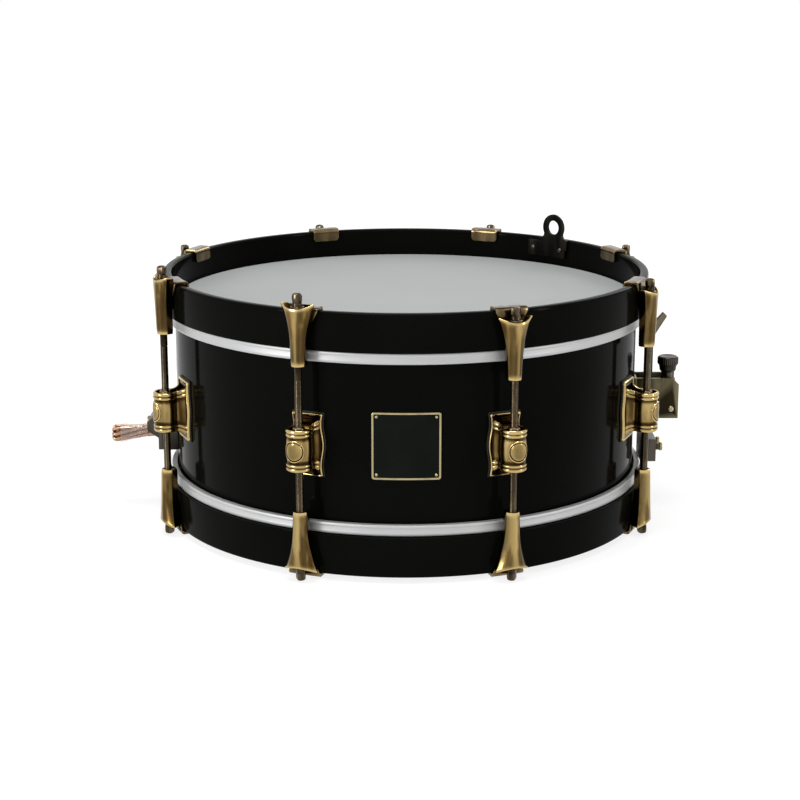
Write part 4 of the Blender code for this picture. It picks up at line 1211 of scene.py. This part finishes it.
def make_claws_and_rods(looks):
    """A claw of nose and hook with its tension rod at each station, above and below."""
    made = {}
    for k in STATIONS:
        turn = station_angle(k)
        for side, up in (("batter", 1), ("snare", -1)):
            rod_low, rod_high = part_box(f"{side}_rod_{k}")
            seat = rod_high.z - ROD_HEAD if up == 1 else rod_low.z + ROD_HEAD
            edge = BATTER_EDGE if up == 1 else SNARE_EDGE
            kind = (side, round(seat, 5))
            if kind not in made:
                length = rod_high.z - rod_low.z - ROD_HEAD
                made[kind] = (
                    nose_mesh("claw_nose", seat, up, looks["brass"]),
                    hook_mesh("claw_hook", edge, up, looks["hook_bronze"]),
                    rod_mesh("rod", length, up, looks["rod_bronze"]),
                )
            nose, hook, rod = made[kind]
            body = f"{side}_hoop"
            piece(f"{side}_claw_nose_{k}", nose, body, [f"{side}_claw_{k}"], turn=turn)
            piece(f"{side}_claw_hook_{k}", hook, body, turn=turn)
            place = (ROD_CIRCLE * cos(turn), ROD_CIRCLE * sin(turn), seat)
            piece(f"{side}_tension_rod_{k}", rod, f"{side}_rod_{k}",
                  [f"{side}_rod_{k}"], place, turn)


# ---- Badge ----------------------------------------------------------------------------------
BORDER_WIDE = 1.3 * MM
NAIL_INSET = 3.2 * MM
LONG_RUN = 5.0 * MM
LONG_RUN_PARTS = 12


def badge_square(reach, corner):
    return rounded([(reach, -reach, corner), (reach, reach, corner), (-reach, reach, corner),
                    (-reach, -reach, corner)], 5)


def divided(outline):
    """An outline with its long straight runs divided, so that it can be bent."""
    made = []
    for k, spot in enumerate(outline):
        after = outline[(k + 1) % len(outline)]
        run = hypot(after[0] - spot[0], after[1] - spot[1])
        parts = LONG_RUN_PARTS if run > LONG_RUN else 1
        for j in range(parts):
            t = j / parts
            made.append((spot[0] + (after[0] - spot[0]) * t, spot[1] + (after[1] - spot[1]) * t))
    return made


def badge_border_mesh(half, back, finish):
    """The raised border: a closed loop of squares, bent round the shell."""
    rings = []
    for inset, corner, rise in ((0.0, 2.0, 0.3), (0.0, 2.0, 0.75), (0.25, 1.8, 0.9), (1.0, 1.5, 0.9),
                                (1.25, 1.4, 0.75), (1.25, 1.4, 0.3)):
        ring = []
        for y, z in divided(badge_square(half - inset * MM, corner * MM)):
            angle = y / SHELL_OUT
            ring.append(((back + rise * MM) * cos(angle), (back + rise * MM) * sin(angle), z))
        rings.append(ring)
    return loft("badge_border", rings, finish, closed=True)


def badge_nail_mesh(side, rise, inset, back, finish):
    nail = turned_solid("nail", [(1.05 * MM, 0.2 * MM), (1.05 * MM, 0.7 * MM),
                                 (0.8 * MM, 1.0 * MM), (0.3 * MM, 1.15 * MM)], finish, 16)
    return moved(along_x(nail, back, 0, rise * inset), tilt=side * inset / SHELL_OUT)


def make_badge(looks):
    """A bare black enamel plate in a thin raised brass border, nailed at its four corners."""
    low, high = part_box("badge_plate")
    middle = (low + high) / 2
    half = (high.z - low.z) / 2
    back = SHELL_OUT + SEAM
    brass = looks["badge_brass"]
    base = bent_plate("badge_base", badge_square(half, 2.0 * MM), back, 0.55 * MM, brass,
                      0.2 * MM, SHELL_OUT)
    field = bent_plate("badge_field", badge_square(half - BORDER_WIDE, 1.4 * MM), back + 0.2 * MM,
                       0.5 * MM, looks["badge_enamel"], 0.08 * MM, SHELL_OUT)
    nails = [badge_nail_mesh(side, rise, half - NAIL_INSET, back, brass)
             for side in (-1, 1) for rise in (-1, 1)]
    mesh = merged("badge", [base, field, badge_border_mesh(half, back, brass), *nails])
    moved(mesh, 0, 0, middle.z)
    piece("badge", mesh, "root", ["badge_plate"], turn=-pi / 2)


# ---- CAD pieces that keep their shape -------------------------------------------------------
def finish_node(node, finish, edge):
    """Gives a CAD node its finish and eases its edges with a small bevel."""
    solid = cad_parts[node]
    solid.data.materials.clear()
    solid.data.materials.append(finish)
    weld = solid.modifiers.new("weld", "WELD")
    weld.merge_threshold = 0.01 * MM
    flat = solid.modifiers.new("flatten", "DECIMATE")
    flat.decimate_type = "DISSOLVE"
    flat.angle_limit = radians(1.5)
    ease = solid.modifiers.new("ease", "BEVEL")
    ease.width = edge
    ease.segments = 3
    ease.limit_method = "ANGLE"
    ease.angle_limit = radians(38)
    ease.harden_normals = True
    for face in solid.data.polygons:
        face.use_smooth = True


def slotted_screw_mesh(radius, proud, finish, seat):
    """A domed screw head about Z with a straight slot cut across it."""
    profile = [(radius, -0.5 * MM), (radius, 0.55 * proud), (0.93 * radius, 0.82 * proud),
               (0.75 * radius, 0.96 * proud), (0.3 * radius, proud)]
    head = turned_solid("screw_head", profile, finish, 28)
    slot = block("slot", (-2 * radius, -0.16 * radius, 0.5 * proud),
                 (2 * radius, 0.16 * radius, 2 * proud), seat, 0.01 * MM)
    return cut_with(head, slot)


# ---- Strap eye ------------------------------------------------------------------------------
EYE_PLATE_HALF = 19.5 * MM
EYE_PLATE_HEIGHT = 13.0 * MM
EYE_THICK = 2.4 * MM
EYE_HALF = 11.0 * MM
EYE_HOLE = 5.8 * MM
EYE_SHIFT = 6.6 * MM
EYE_RIVET_OFFSET = 14.0 * MM
EYE_RIVET_Z = 12.5 * MM
# Half width and level, in mm, of the ear's flare from its neck down to the plate.
EYE_FOOT = ((9.9, 24.3), (10.8, 22.9), (12.6, 22.0), (14.6, 21.6), (14.9, 20.9), (14.9, 13.0))


def strap_eye_mesh(inner, top, low, finish):
    """A plate bent to the hoop's wall and a holed ear above it that flares out at its foot."""
    tall = EYE_PLATE_HEIGHT
    corners = [(side * EYE_PLATE_HALF, low + rise, 1.6 * MM)
               for side, rise in ((1, 0), (1, tall), (-1, tall), (-1, 0))]
    plate = bent_plate("eye_plate", rounded(corners), inner, EYE_THICK, finish, 0.35 * MM, inner)
    hole_z = top - EYE_HALF
    arc = [radians(-28 + 236 * k / 24) for k in range(25)]
    foot = [(y * MM, z * MM) for y, z in EYE_FOOT]
    outline = foot[::-1] + [(EYE_HALF * cos(a), hole_z + EYE_HALF * sin(a)) for a in arc]
    outline += [(-y, z) for y, z in foot]
    face = inner * cos(EYE_HALF / inner)
    ear = loft("eye_ear", [[(x, y, z) for y, z in outline] for x in (face, face + EYE_THICK)], finish)
    bore = turned_solid("eye_bore", [(EYE_HOLE, -5 * MM), (EYE_HOLE, 5 * MM)], finish, 40)
    ear = soften(cut_with(ear, along_x(bore, face, 0, hole_z)), 0.45 * MM)
    return merged("strap_eye", [plate, moved(ear, tilt=-EYE_SHIFT / inner)])


def make_strap_eye(looks):
    low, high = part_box("strap_eye")
    points = [v.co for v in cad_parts["strap_eye"].data.vertices]
    foot = [p for p in points if p.z < low.z + MM]
    turns = [atan2(p.y, p.x) for p in foot]
    turn = (min(turns) + max(turns)) / 2
    inner = min(hypot(p.x, p.y) for p in foot)
    face = inner * cos(EYE_HALF / inner)
    # Painted shade: the whole strap eye is marked -0.7, darker than the other black steel parts.
    mesh = wear_and_painted_light(strap_eye_mesh(inner, high.z, low.z, looks["black_steel"]), lambda spot: -0.7)
    piece("strap_eye_plate", mesh, "batter_hoop", ["strap_eye"], turn=turn)
    for k, offset in enumerate((-EYE_RIVET_OFFSET, EYE_RIVET_OFFSET), 1):
        rivet = turned_solid("rivet", [(1.9 * MM, -0.3 * MM), (1.9 * MM, 0.3 * MM),
                                       (1.5 * MM, 0.8 * MM), (0.7 * MM, 1.05 * MM)],
                             looks["black_steel"], 20)
        rivet = moved(rivet, face + 0.25 * MM, 0, EYE_RIVET_Z, -pi / 2, "Y")
        angle = turn + offset / face
        piece(f"strap_eye_rivet_{k}", rivet, "batter_hoop", turn=angle)


# ---- Strainer -------------------------------------------------------------------------------
KNOB_HEIGHT = 12.0 * MM
KNOB_TEETH = 30
KNOB_NOTCH = 0.035
# Shares of the knob's radius and height, and whether the ring is knurled.
KNOB_PROFILE = (
    (0.60, 0.0, False), (0.72, 0.03, False), (0.78, 0.10, False), (0.80, 0.24, False),
    (0.84, 0.36, False), (0.90, 0.44, False), (0.96, 0.49, True), (1.0, 0.53, True),
    (1.0, 0.88, True), (0.96, 0.93, True), (0.90, 0.97, False), (0.80, 1.0, False),
    (0.66, 0.985, False), (0.30, 0.955, False), (0.05, 0.95, False),
)


def knob_mesh(height, radius, finish):
    """A knurled knob about Z that tapers down to its neck, with a dished top."""
    sides = KNOB_TEETH * 4
    rings = []
    for share, level, knurled in KNOB_PROFILE:
        ring = []
        for k in range(sides):
            angle = 2 * pi * k / sides
            notch = KNOB_NOTCH * (0.5 + 0.5 * cos(KNOB_TEETH * angle)) if knurled else 0.0
            reach = radius * (share - notch)
            ring.append((reach * cos(angle), reach * sin(angle), level * height))
        rings.append(ring)
    return loft("knob", rings, finish, sharp=40)


def make_cheek_rivet(looks):
    """The domed rivet in the bracket's cheek."""
    low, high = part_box("strainer_base")
    rivet = turned_solid("rivet", [(2.3 * MM, -0.2 * MM), (2.3 * MM, 0.3 * MM), (1.9 * MM, 0.85 * MM),
                                   (1.0 * MM, 1.2 * MM), (0.3 * MM, 1.3 * MM)], looks["rivet"], 24)
    rivet = moved(rivet, tilt=pi / 2, axis="X")
    place = (high.x - 5.6 * MM, low.y + 0.8 * MM, low.z + 7.5 * MM)
    piece("strainer_rivet_1", rivet, "root", place=place)


def make_thumb_knob(looks):
    """The knurled knob with its screw below it."""
    low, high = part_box("strainer_knob")
    middle = (low + high) / 2
    radius = (high.x - low.x) / 2
    base = high.z - KNOB_HEIGHT
    # The whole knob is marked 0.28, which makes it lighter than the other black steel parts.
    knob = wear_and_painted_light(knob_mesh(KNOB_HEIGHT, radius, looks["black_steel"]), lambda spot: 0.28)
    screw = turned_solid("screw", [(2.5 * MM, low.z - base), (2.5 * MM, 1.0 * MM)],
                         looks["rod_bronze"], 20)
    mesh = merged("strainer_thumb_knob", [knob, screw], 40)
    piece("strainer_thumb_knob", mesh, "strainer_knob", ["strainer_knob"],
          (middle.x, middle.y, base))


def make_strainer_screws(looks):
    """Two screws in the clamp bar and the cap of the lever's pivot."""
    _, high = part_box("strainer_clamp_bar")
    for k, side in enumerate((-1, 1), 1):
        head = slotted_screw_mesh(3.4 * MM, 1.6 * MM, looks["hook_bronze"], looks["rod_bronze"])
        head = along_x(head, high.x - 0.2 * MM, side * 8.5 * MM, high.z - 7.0 * MM)
        piece(f"strainer_clamp_screw_{k}", head, "strainer_carriage")
    pivot = middle_of("strainer_pivot")
    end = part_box("strainer_pivot")[1].y
    head = slotted_screw_mesh(3.6 * MM, 1.0 * MM, looks["hook_bronze"], looks["rod_bronze"])
    head = along_y(head, pivot.x, end - 0.5 * MM, pivot.z)
    piece("strainer_pivot_cap", head, "root")


def make_strainer(looks):
    """Bracket, slide, knob, lever and clamp of the throw-off at the right."""
    finish_node("strainer_base", looks["olive_brass"], 0.35 * MM)
    finish_node("strainer_carriage", looks["black_steel"], 0.5 * MM)
    finish_node("strainer_clamp_bar", looks["black_steel"], 0.5 * MM)
    finish_node("strainer_lever", looks["dull_brass"], 0.7 * MM)
    finish_node("strainer_pivot", looks["hook_bronze"], 0.3 * MM)
    make_cheek_rivet(looks)
    make_thumb_knob(looks)
    make_strainer_screws(looks)


# ---- Butt clamp and strands -----------------------------------------------------------------
STRAND_COUNT = 10
STRAND_PITCH = 2.6 * MM
STRAND_RADIUS = 0.85 * MM
STRAND_BEND = 6.0 * MM
TAILS = 8
TAIL_DROP = -2.6 * MM
TAIL_RADIUS = 1.35 * MM
TAIL_STEPS = 12
TAIL_LOOP = 1.9 * MM
TAIL_LOOP_STEPS = 8
BUNDLE_RADIUS = 3.5 * MM
SLEEVE_RADIUS = 5.4 * MM
SLEEVE_FLARE = 2.2 * MM
SLEEVE_WALL = 0.35 * MM
SLEEVE_STEPS = 16
SLEEVE_SIDES = 28


def make_butt(looks):
    """The butt clamp: its base, the bar with a slanted lower corner, and the screw."""
    finish_node("butt_base", looks["black_steel"], 0.5 * MM)
    low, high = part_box("butt_clamp_bar")
    rings = []
    for y in (low.y, high.y):
        rings.append([(high.x, y, low.z), (high.x, y, high.z), (low.x + 3.0 * MM, y, high.z),
                      (low.x, y, high.z - 2.5 * MM), (low.x, y, high.z - 10.0 * MM),
                      (high.x - 4.0 * MM, y, high.z - 15.5 * MM), (high.x - 4.0 * MM, y, low.z)])
    bar = soften(loft("butt_clamp", rings, looks["black_steel"]), 0.6 * MM)
    piece("butt_clamp", bar, "root", ["butt_clamp_bar"])
    head = slotted_screw_mesh(3.6 * MM, 1.8 * MM, looks["hook_bronze"], looks["rod_bronze"])
    head = moved(head, low.x + 0.2 * MM, 0, high.z - 5.0 * MM, -pi / 2, "Y")
    piece("butt_clamp_screw", head, "root")


def strand_route(y, top_right, top_left, level, reach):
    """From the strainer's clamp down, under the snare head and up to the butt clamp."""
    route = [(reach, y, top_right)]
    for k in range(7):
        angle = -pi / 2 * k / 6
        route.append((reach - STRAND_BEND + STRAND_BEND * cos(angle), y,
                      level + STRAND_BEND + STRAND_BEND * sin(angle)))
    return route + [(0, y, level)] + [(-x, y, z) for x, _, z in reversed(route[1:])] + [
        (-reach, y, top_left)]


def tail_route(k, start, end, middle_z):
    """One tied tail: out of the clamp in a bundle, round a tight loop and back beside itself."""
    angle = 2 * pi * k / TAILS + 0.4
    route = []
    for j in range(TAIL_STEPS + 1):
        t = j / TAIL_STEPS
        x = start + (end - start) * t
        twist = angle + 1.1 * t
        reach = BUNDLE_RADIUS * (1.0 + 0.60 * t ** 2)
        sag = TAIL_DROP * (t - 1)
        route.append((x, reach * cos(twist), middle_z + sag + reach * sin(twist)))
    turn = route[-1]
    inward = Vector((0, -turn[1], middle_z - turn[2])).normalized()
    outward = Vector((-1, 0, 0))
    for j in range(1, TAIL_LOOP_STEPS + 1):
        a = pi * j / TAIL_LOOP_STEPS
        spot = Vector(turn) + inward * TAIL_LOOP * (1 - cos(a)) + outward * TAIL_LOOP * 1.25 * sin(a)
        route.append(tuple(spot))
    last = Vector(route[-1])
    for j in range(1, 5):
        route.append(tuple(last + Vector((4.2 * MM * j, 0, 0.08 * MM * j))))
    return route


def sleeve_mesh(butt_x, end, middle_z, finish):
    """The clear sleeve: a thin tube round the tails that opens and waves a little to its end."""
    line = []
    for k in range(SLEEVE_STEPS + 1):
        t = k / SLEEVE_STEPS
        x = butt_x - 1.0 * MM + (end + 3.5 * MM - butt_x + 1.0 * MM) * t
        wave = 0.18 * MM * sin(21 * t) * sin(5 * t)
        line.append((SLEEVE_RADIUS + SLEEVE_FLARE * t ** 2 + wave, x, middle_z + TAIL_DROP * (t - 1)))
    rings = []
    for wall, order in ((0.0, line), (SLEEVE_WALL, line[::-1])):
        for r, x, z in order:
            angles = [2 * pi * k / SLEEVE_SIDES for k in range(SLEEVE_SIDES)]
            rings.append([(x, (r - wall) * cos(a), z + (r - wall) * sin(a)) for a in angles])
    return loft("strand_sleeve", rings, finish, closed=True)


def make_strands(looks):
    """Ten bronze-wound strands under the snare head, and their tied ends in a clear sleeve."""
    low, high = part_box("snare_strands")
    clamp_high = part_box("strainer_clamp_bar")[1]
    butt_low, butt_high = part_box("butt_clamp_bar")
    reach = high.x - 0.9 * MM
    level = low.z + 0.9 * MM
    strands = []
    for k in range(STRAND_COUNT):
        y = (k - (STRAND_COUNT - 1) / 2) * STRAND_PITCH
        route = strand_route(y, clamp_high.z, butt_high.z, level, reach)
        strands.append(tube("strand", route, STRAND_RADIUS, looks["strand"]))
    start = butt_low.x + 5.0 * MM
    end = low.x + 3.4 * MM
    middle_z = butt_high.z - 15.4 * MM
    for k in range(TAILS):
        strands.append(tube("tail", tail_route(k, start, end, middle_z), TAIL_RADIUS,
                            looks["strand"], 10))
    piece("snare_strand_set", merged("snare_strand_set", strands, 60), "root",
          ["snare_strands"])
    piece("strand_sleeve", sleeve_mesh(butt_low.x, end, middle_z, looks["sleeve"]), "root")


# ---- Assembly -------------------------------------------------------------------------------
make_camera()
make_world()
make_floor(CAD_LOW.z - FLOOR_DROP)
for lamp in LAMPS:
    area_lamp(*lamp)
looks = make_finishes()
make_shell(looks)
make_vent_grommet(looks)
make_heads(looks)
make_hoops(looks)
make_lugs(looks)
make_claws_and_rods(looks)
make_badge(looks)
make_strap_eye(looks)
make_strainer(looks)
make_butt(looks)
make_strands(looks)

bpy.context.scene.view_settings.view_transform = "Standard"
